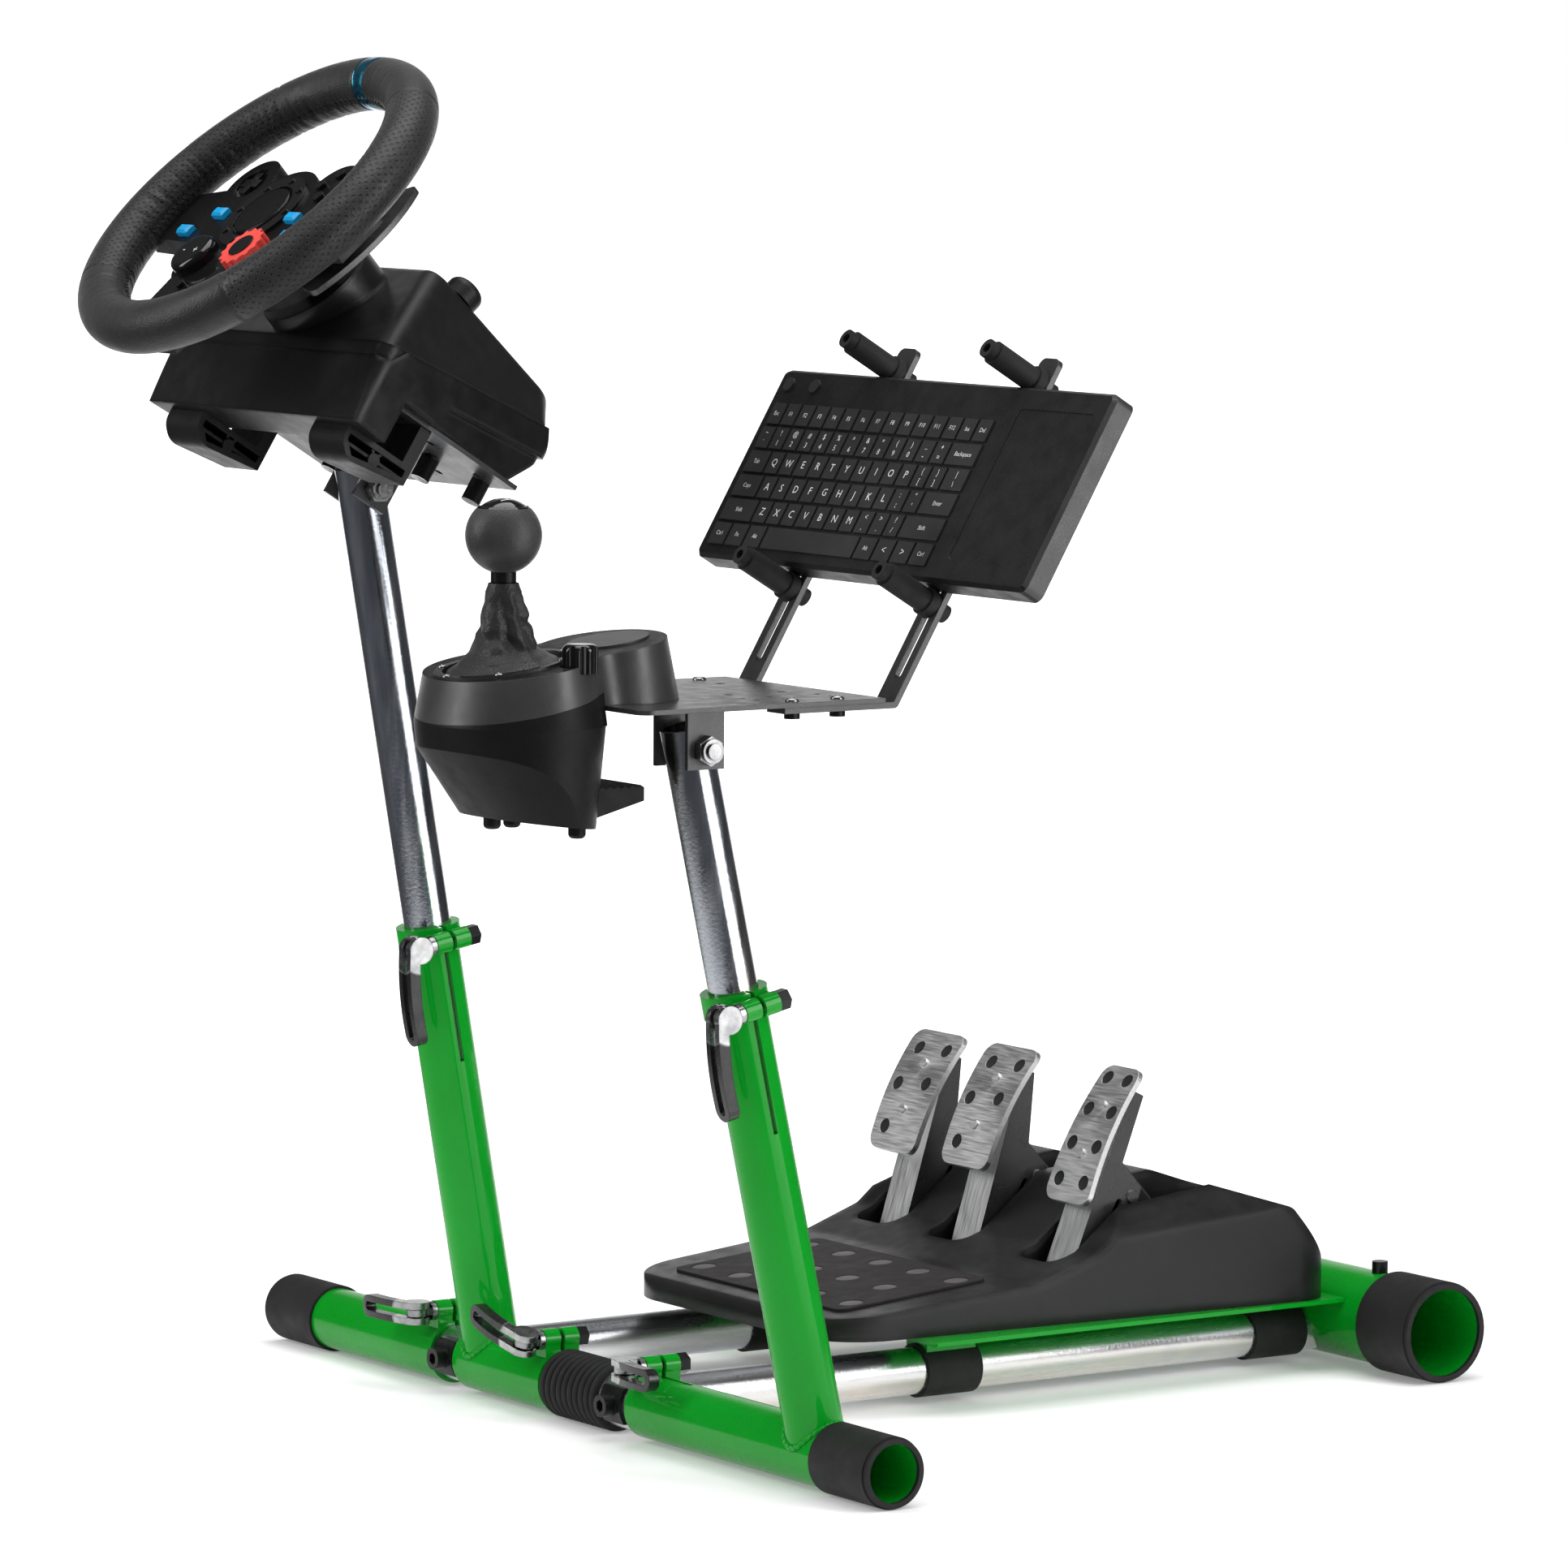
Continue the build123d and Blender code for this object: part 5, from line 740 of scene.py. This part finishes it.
def make_rim():
    """Leather rim with its sewn inner seam, cross seams, punched grips and blue band."""
    shape = Shape()
    turns = [radians(RIM_SEAMS[0]) + 2 * pi * i / RIM_STEPS for i in range(RIM_STEPS)]
    girths = [-pi + 2 * pi * j / RIM_GIRTH_STEPS for j in range(RIM_GIRTH_STEPS)]
    points = [rim_point(t, g, rim_relief(t, g)) for t in turns for g in girths]
    shape.add(points, lattice(RIM_STEPS, RIM_GIRTH_STEPS, wrap_rows=True), WHEEL)
    shape.finish = [rim_finish(turn) for turn in turns for _ in girths]
    rim = shape.piece("leather_rim", "steering", "leather", "leather", "leather_punched", "rim_band")
    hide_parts("rim")
    layer = rim.data.uv_layers.new(name="skin")
    arc_step = 2 * pi * RIM_R / RIM_STEPS / PUNCH_PITCH
    girth_step = 2 * pi * RIM_SECTION_R / RIM_GIRTH_STEPS / PUNCH_PITCH
    corners = ((0, 0), (0, 1), (1, 1), (1, 0))
    for face in rim.data.polygons:
        row, column = divmod(face.index, RIM_GIRTH_STEPS)
        for loop, (down, across) in zip(face.loop_indices, corners):
            layer.data[loop].uv = ((row + down) * arc_step, (column + across) * girth_step)


def make_stitches():
    """V-laced thread along the rim's inner seam."""
    shape = Shape()
    count = round(2 * pi * RIM_R / STITCH_PITCH)
    for i in range(count):
        turn = 2 * pi * i / count
        ahead = turn + STITCH_LEAN * STITCH_PITCH / RIM_R
        for side in (-1, 1):
            start = rim_point(turn, side * 0.17, -0.1)
            end = rim_point(ahead, side * 0.015, -0.7)
            shape.add(*bead(start, end, STITCH_R), WHEEL)
    shape.piece("rim_stitches", "steering", "leather", "thread")


def boot_radius(height):
    """Radius of the plain boot at a height, along its profile."""
    for (r0, z0), (r1, z1) in zip(BOOT_PROFILE, BOOT_PROFILE[1:]):
        if height <= z1:
            share = (height - z0) / (z1 - z0)
            return r0 + (r1 - r0) * (share * share * (3 - 2 * share) * 0.5 + share * 0.5)
    return BOOT_PROFILE[-1][0]


def boot_point(row, turn):
    """Point of the boot's skin over the lever's pivot: sloping base, soft folds, gathered neck."""
    low, high = BOOT_PROFILE[0][1], BOOT_PROFILE[-1][1]
    share = row / (BOOT_ROWS - 1)
    height = low + (high - low) * share
    fold = 0.5 + 0.5 * cos(BOOT_FOLDS * turn + 1.3 * sin(2 * turn) + height / 12.0)
    rolls = max(0.0, sin(height / 3.4 + 2.2 * sin(turn + 0.6) + 1.1 * sin(3 * turn)))
    rough = noise.noise(Vector((cos(turn) * 2.6, sin(turn) * 2.6, height / 9.0)))
    slack = sin(pi * min(1.0, 0.05 + share * 1.05)) ** 0.7
    sunk = slack * (BOOT_FOLD_DEPTH * fold + BOOT_ROLL_DEPTH * rolls + BOOT_ROUGH_DEPTH * rough)
    radius = boot_radius(height) - max(0.0, sunk)
    (y0, z0), (y1, z1) = SHIFTER_TOP
    y = radius * sin(turn)
    lean = y * (z1 - z0) / (y1 - y0) * (1.0 - share) ** 2
    return radius * cos(turn), y, height + lean


def make_boot():
    """Leather boot in two lengths that meet at the waist."""
    pivot = SHIFTER @ Matrix.Translation((0.0, BOOT_Y, LEVER_PIVOT_Z))
    lengths = (("boot_skirt", (0, BOOT_WAIST_ROW), ("deck", "shift_gimbal"), SKIRT_BEND),
               ("leather_boot", (BOOT_WAIST_ROW, BOOT_ROWS - 1), ("shift_gimbal", "shift_lever"), BOOT_BEND))
    for name, (first, last), bodies, bend in lengths:
        rows = range(first, last + 1)
        shape = Shape()
        turns = [2 * pi * j / BOOT_COLUMNS for j in range(BOOT_COLUMNS)]
        points = [boot_point(row, turn) for row in rows for turn in turns]
        shape.add(points, lattice(len(rows), BOOT_COLUMNS), pivot)
        boot = shape.piece(name, None, "leather", "boot_leather")
        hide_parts("shift_boot")
        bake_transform(boot)


def key_places():
    """Middle of each key in the keyboard's frame, with its word."""
    wide, tall, _ = KEYBOARD_SIZE
    left = KEYBOARD_X - wide / 2 + KEYS_LEFT
    top = KEYBOARD_LOW + tall - KEYS_TOP
    pitch = (tall - KEYS_TOP - KEYS_BOTTOM) / len(KEY_UNITS)
    for row, (units, words) in enumerate(zip(KEY_UNITS, KEY_WORDS)):
        unit = KEYS_WIDTH / sum(units)
        x = left
        for size, word in zip(units, words.split()):
            yield x + size * unit / 2, top - (row + 0.5) * pitch, word
            x += size * unit


def word_mesh(word, size):
    """Flat letters about their own middle."""
    text = bpy.data.curves.new("word", "FONT")
    text.body = word
    text.size = size
    text.align_x = "CENTER"
    text.align_y = "CENTER"
    text.resolution_u = 2
    holder = bpy.data.objects.new("word", text)
    bpy.context.scene.collection.objects.link(holder)
    bpy.context.view_layer.update()
    mesh = bpy.data.meshes.new_from_object(holder.evaluated_get(bpy.context.evaluated_depsgraph_get()))
    points = [v.co.copy() for v in mesh.vertices]
    faces = [list(face.vertices) for face in mesh.polygons]
    bpy.data.objects.remove(holder)
    bpy.data.curves.remove(text)
    bpy.data.meshes.remove(mesh)
    return points, faces


def make_legends():
    """Printed legends on the keys."""
    shape = Shape()
    face = KEYBOARD_SIZE[2] + KEY_RISE + PRINT_RISE

    def put(word, size, x, y):
        shape.add(*word_mesh(word, size), KEYBOARD @ Matrix.Translation((x, y, face)))

    for x, y, word in key_places():
        if word in SHIFTED:
            put(SHIFTED[word], PAIR_SIZE, x, y + PAIR_RISE)
            put(word, PAIR_SIZE, x, y - PAIR_RISE)
        elif word != SPACE_BAR:
            put(word, LETTER_SIZE if len(word) == 1 else WORD_SIZE, x, y)
    shape.piece("key_legends", "deck", "black_plastic", "legend")


def make_gear_pattern():
    """Six-speed gate printed on the dome of the lever's cap."""
    shape = Shape()
    dome = BALL_R - BALL_CAP_STEP + PRINT_RISE
    gate, half = GATE_HALF, GATE_LINE / 2
    lines = [((x, -gate), (x, gate)) for x in (-gate, 0.0, gate)] + [((-gate, 0.0), (gate, 0.0))]
    for (x0, y0), (x1, y1) in lines:
        across = Vector((y0 - y1, x1 - x0)).normalized() * half
        points = []
        for i in range(GATE_STEPS + 1):
            share = i / GATE_STEPS
            for side in (-1, 1):
                x = x0 + (x1 - x0) * share + side * across.x
                y = y0 + (y1 - y0) * share + side * across.y
                points.append((x, y, sqrt(dome * dome - x * x - y * y)))
        faces = lattice(GATE_STEPS + 1, 2, wrap_columns=False)
        shape.add(points, faces, SHIFTER @ Matrix.Translation((0.0, BOOT_Y, BALL_Z)))
    shape.piece("gear_pattern", "shift_lever", "black_plastic", "legend")


def make_knob_marks():
    """Plus and minus on the wheel's left knob."""
    shape = Shape()
    x, y = KNOB_CENTRE
    for word, side in (("+", 1), ("-", -1)):
        at = (x + side * KNOB_MARK_OFF, y, KNOB_TOP + PRINT_RISE)
        shape.add(*word_mesh(word, KNOB_MARK_SIZE), WHEEL @ Matrix.Translation(at))
    shape.piece("knob_marks", "steering", "black_plastic", "legend")


def make_studs(name):
    """Dark grip studs sunk in a pedal face."""
    shape = Shape()
    length = PAD_LENGTHS[name]
    bend = (length * length / 4 + PAD_CURVE * PAD_CURVE) / (2 * PAD_CURVE)
    pad = local(PEDAL_X[name], *PAD_CENTRES[name], PAD_RISE)
    for x, y in PAD_STUDS[name]:
        face = sqrt(bend * bend - y * y) - bend
        seat = Matrix.Translation((x, y, face)) @ Matrix.Rotation(-y / bend, 4, "X")
        shape.add(*turned(STUD_PROFILE), pad @ seat)
    shape.piece(f"{name}_studs", name, "black_rubber", "black_rubber")


def make_heel_dots():
    """Lighter round grips in the heel pad's dimples."""
    shape = Shape()
    (y0, z0), (y1, z1) = HEEL_SLOPE
    rise = degrees(atan2(z1 - z0, y1 - y0))
    height = z0 + (z1 - z0) * (HEEL_PAD_Y - y0) / (y1 - y0)
    pad = local(UNIT_X, HEEL_PAD_Y, height, rise)
    pitch_x, pitch_y = HEEL_DOT_PITCH
    for row, count in enumerate(HEEL_DOT_ROWS):
        y = (row - (len(HEEL_DOT_ROWS) - 1) / 2) * pitch_y
        for i in range(count):
            x = (i - (count - 1) / 2) * pitch_x
            seat = pad @ Matrix.Translation((x, y, HEEL_PAD_THICK))
            shape.add(*turned(HEEL_DOT_PROFILE, HEEL_DOT_STEPS), seat)
    shape.piece("heel_dots", "base", "black_rubber", "heel_dot")


def make_weld(body):
    """Rippled weld bead where a post is coped onto its sleeve."""
    x, lean = POSTS[body]
    foot = local(x, 0.0, CROSS_TUBE_MID.z, lean)
    points = []
    for i in range(WELD_STEPS):
        turn = 2 * pi * i / WELD_STEPS
        across, out = POST_R * cos(turn), POST_R * sin(turn)
        up = sqrt(SLEEVE_R ** 2 - out ** 2)
        wide = WELD_R + WELD_RIPPLE * abs(sin(turn * WELD_SCALES / 2))
        for j in range(WELD_SIDES):
            side = 2 * pi * j / WELD_SIDES
            off = wide * cos(side)
            points.append((across + off * cos(turn), out + off * sin(turn), up + wide * sin(side)))
    shape = Shape()
    shape.add(points, lattice(WELD_STEPS, WELD_SIDES, wrap_rows=True), foot)
    shape.piece(f"{body}_weld", body, "green_paint", "green_paint")


def make_bowl_screws():
    """Small bright screws on the boot's ring."""
    shape = Shape()
    (y0, z0), (y1, z1) = SHIFTER_TOP
    slope = SHIFTER @ Matrix.Translation((0.0, y0, z0)) @ Matrix.Rotation(atan2(z1 - z0, y1 - y0), 4, "X")
    for angle in BOWL_SCREWS:
        turn = radians(angle)
        at = (BOWL_RING_MID * cos(turn), BOOT_Y - y0 + BOWL_RING_MID * sin(turn), BOWL_RING_RISE)
        shape.add(*turned(BOWL_SCREW_HEAD, SCREW_STEPS), slope @ Matrix.Translation(at))
    shape.piece("bowl_screws", "deck", "zinc", "zinc")


def make_deck_screws():
    """Button-head screws on the deck, over the keyboard arms' bolts."""
    shape = Shape()
    for x in ARM_X:
        for y in ARM_BOLTS:
            shape.add(*turned(DECK_SCREW_HEAD, SCREW_STEPS), local(x, y, DECK_TOP))
    shape.piece("deck_screws", "deck", "zinc", "zinc")


def make_pieces():
    """All the pieces that the scene adds to the solid parts."""
    make_rim()
    make_stitches()
    make_boot()
    make_deck_screws()
    make_legends()
    make_gear_pattern()
    make_knob_marks()
    make_heel_dots()
    make_bowl_screws()
    for name in PEDAL_X:
        make_studs(name)
    for body in POSTS:
        make_weld(body)


def make_camera():
    """Camera at the photograph's place and angle."""
    turn, rise, roll = (radians(a) for a in (CAMERA_AZIMUTH, CAMERA_ELEVATION, CAMERA_ROLL))
    back = Vector((sin(turn) * cos(rise), -cos(turn) * cos(rise), sin(rise)))
    right = Vector((cos(turn), sin(turn), 0.0))
    up = back.cross(right)
    right, up = right * cos(roll) + up * sin(roll), up * cos(roll) - right * sin(roll)
    lens = bpy.data.cameras.new("camera")
    lens.sensor_width = SENSOR
    lens.lens = FOCAL_PX / FRAME_PX * SENSOR
    lens.clip_end = CLIP_END
    camera = bpy.data.objects.new("camera", lens)
    bpy.context.scene.collection.objects.link(camera)
    place = CAMERA_PLACE * MM + DESIGN_SHIFT
    camera.matrix_world = Matrix((right, up, back)).transposed().to_4x4()
    camera.matrix_world.translation = place
    bpy.context.scene.camera = camera
    return right, back


def room_share(made, front, sweep):
    """Dark room's share at a floor point: 0 under and behind the object and on the lit sweep."""
    at = made.node("ShaderNodeTexCoord").outputs["Object"]
    unit = made.vector("NORMALIZE", at)["Vector"]
    beside = made.spread(made.vector("DOT_PRODUCT", unit, front)["Value"], 0.0, 1.0, *ROOM_EDGE[:2])
    unlit = made.spread(made.vector("DOT_PRODUCT", unit, sweep)["Value"], 1.0, 0.0, *SWEEP_EDGE)
    far = made.spread(made.vector("LENGTH", at)["Value"], 0.0, 1.0, *ROOM_START)
    return made.math("MULTIPLY", far, made.math("MULTIPLY", beside, unlit))


def make_floor(front, sweep):
    """Plain white floor that keeps the soft shadow. Its mirror image is dark where the room is."""
    mesh = bpy.data.meshes.new("floor")
    corners = [(x * FLOOR_HALF, y * FLOOR_HALF, 0) for x, y in ((-1, -1), (1, -1), (1, 1), (-1, 1))]
    mesh.from_pydata(corners, [], [[0, 1, 2, 3]])
    floor = bpy.data.objects.new("floor", mesh)
    bpy.context.scene.collection.objects.link(floor)
    made = Finish("floor", Roughness=0.9, Specular_IOR_Level=0.0, Emission_Color=(1.0, 1.0, 1.0, 1.0))
    rays = made.node("ShaderNodeLightPath").outputs
    away = made.vector("LENGTH", made.node("ShaderNodeTexCoord").outputs["Object"])["Value"]
    glow = made.spread(away, FLOOR_GLOW, 1.0, *FLOOR_FADE)
    dark = made.math("MULTIPLY", room_share(made, front, sweep), rays["Is Glossy Ray"])
    mirrored = made.math("MAXIMUM", rays["Is Glossy Ray"], rays["Is Transmission Ray"])
    seen = made.math("MAXIMUM", rays["Is Camera Ray"], mirrored)
    shown = made.math("MULTIPLY", seen, made.math("SUBTRACT", 1.0, dark))
    made.set("Emission Strength", made.math("MULTIPLY", glow, shown))
    made.set("Base Color", made.mix(dark, FLOOR_COLOUR, ROOM_COLOUR))
    mesh.materials.append(made.material)


def make_world(front):
    """White background that metal sees too, with a dark room on the other sides."""
    world = bpy.data.worlds.new("studio")
    bpy.context.scene.world = world
    world.use_nodes = True
    tree = world.node_tree
    fill = tree.nodes["Background"]
    fill.inputs["Color"].default_value = (1.0, 1.0, 1.0, 1.0)
    fill.inputs["Strength"].default_value = WORLD_FILL
    shown = tree.nodes.new("ShaderNodeBackground")
    shown.inputs["Color"].default_value = (1.0, 1.0, 1.0, 1.0)

    def math(operation, first, second):
        made = tree.nodes.new("ShaderNodeMath")
        made.operation = operation
        tree.links.new(first, made.inputs[0])
        tree.links.new(second, made.inputs[1])
        return made.outputs[0]

    toward = tree.nodes.new("ShaderNodeVectorMath")
    toward.operation = "DOT_PRODUCT"
    tree.links.new(tree.nodes.new("ShaderNodeTexCoord").outputs["Generated"], toward.inputs[0])
    toward.inputs[1].default_value = front
    level = tree.nodes.new("ShaderNodeMapRange")
    level.interpolation_type = "SMOOTHSTEP"
    for socket, value in zip(("From Min", "From Max", "To Min", "To Max"), ROOM_EDGE):
        level.inputs[socket].default_value = value
    tree.links.new(toward.outputs["Value"], level.inputs["Value"])
    rays = tree.nodes.new("ShaderNodeLightPath").outputs
    tree.links.new(math("MAXIMUM", rays["Is Camera Ray"], level.outputs["Result"]), shown.inputs["Strength"])
    mirrored = math("MAXIMUM", rays["Is Glossy Ray"], rays["Is Transmission Ray"])
    choice = tree.nodes.new("ShaderNodeMixShader")
    tree.links.new(math("MAXIMUM", rays["Is Camera Ray"], mirrored), choice.inputs["Fac"])
    tree.links.new(fill.outputs[0], choice.inputs[1])
    tree.links.new(shown.outputs[0], choice.inputs[2])
    tree.links.new(choice.outputs[0], tree.nodes["World Output"].inputs["Surface"])


def softbox(name, place, size, power):
    """Large rectangular lamp that points at the object."""
    lamp = bpy.data.lights.new(name, "AREA")
    lamp.shape = "RECTANGLE"
    lamp.size, lamp.size_y = size
    lamp.energy = power
    holder = bpy.data.objects.new(name, lamp)
    bpy.context.scene.collection.objects.link(holder)
    holder.location = place
    holder.rotation_euler = (LIGHT_AIM - Vector(place)).to_track_quat("-Z", "Y").to_euler()


def make_lights(right, front):
    """Overhead box with one tall box each side of the camera."""
    up = Vector((0.0, 0.0, 1.0))
    softbox("top_box", *TOP_BOX)
    for name, ((ahead, aside, high), power) in SIDE_BOXES.items():
        softbox(name, front * ahead + right * aside + up * high, SIDE_BOX_SIZE, power)


dress_nodes()
make_pieces()
right, front = make_camera()
sweep_turn = radians(SWEEP_TURN)
make_floor(front, front * cos(sweep_turn) + right * sin(sweep_turn))
make_world(front)
make_lights(right, front)
bpy.context.scene.view_settings.view_transform = "Standard"
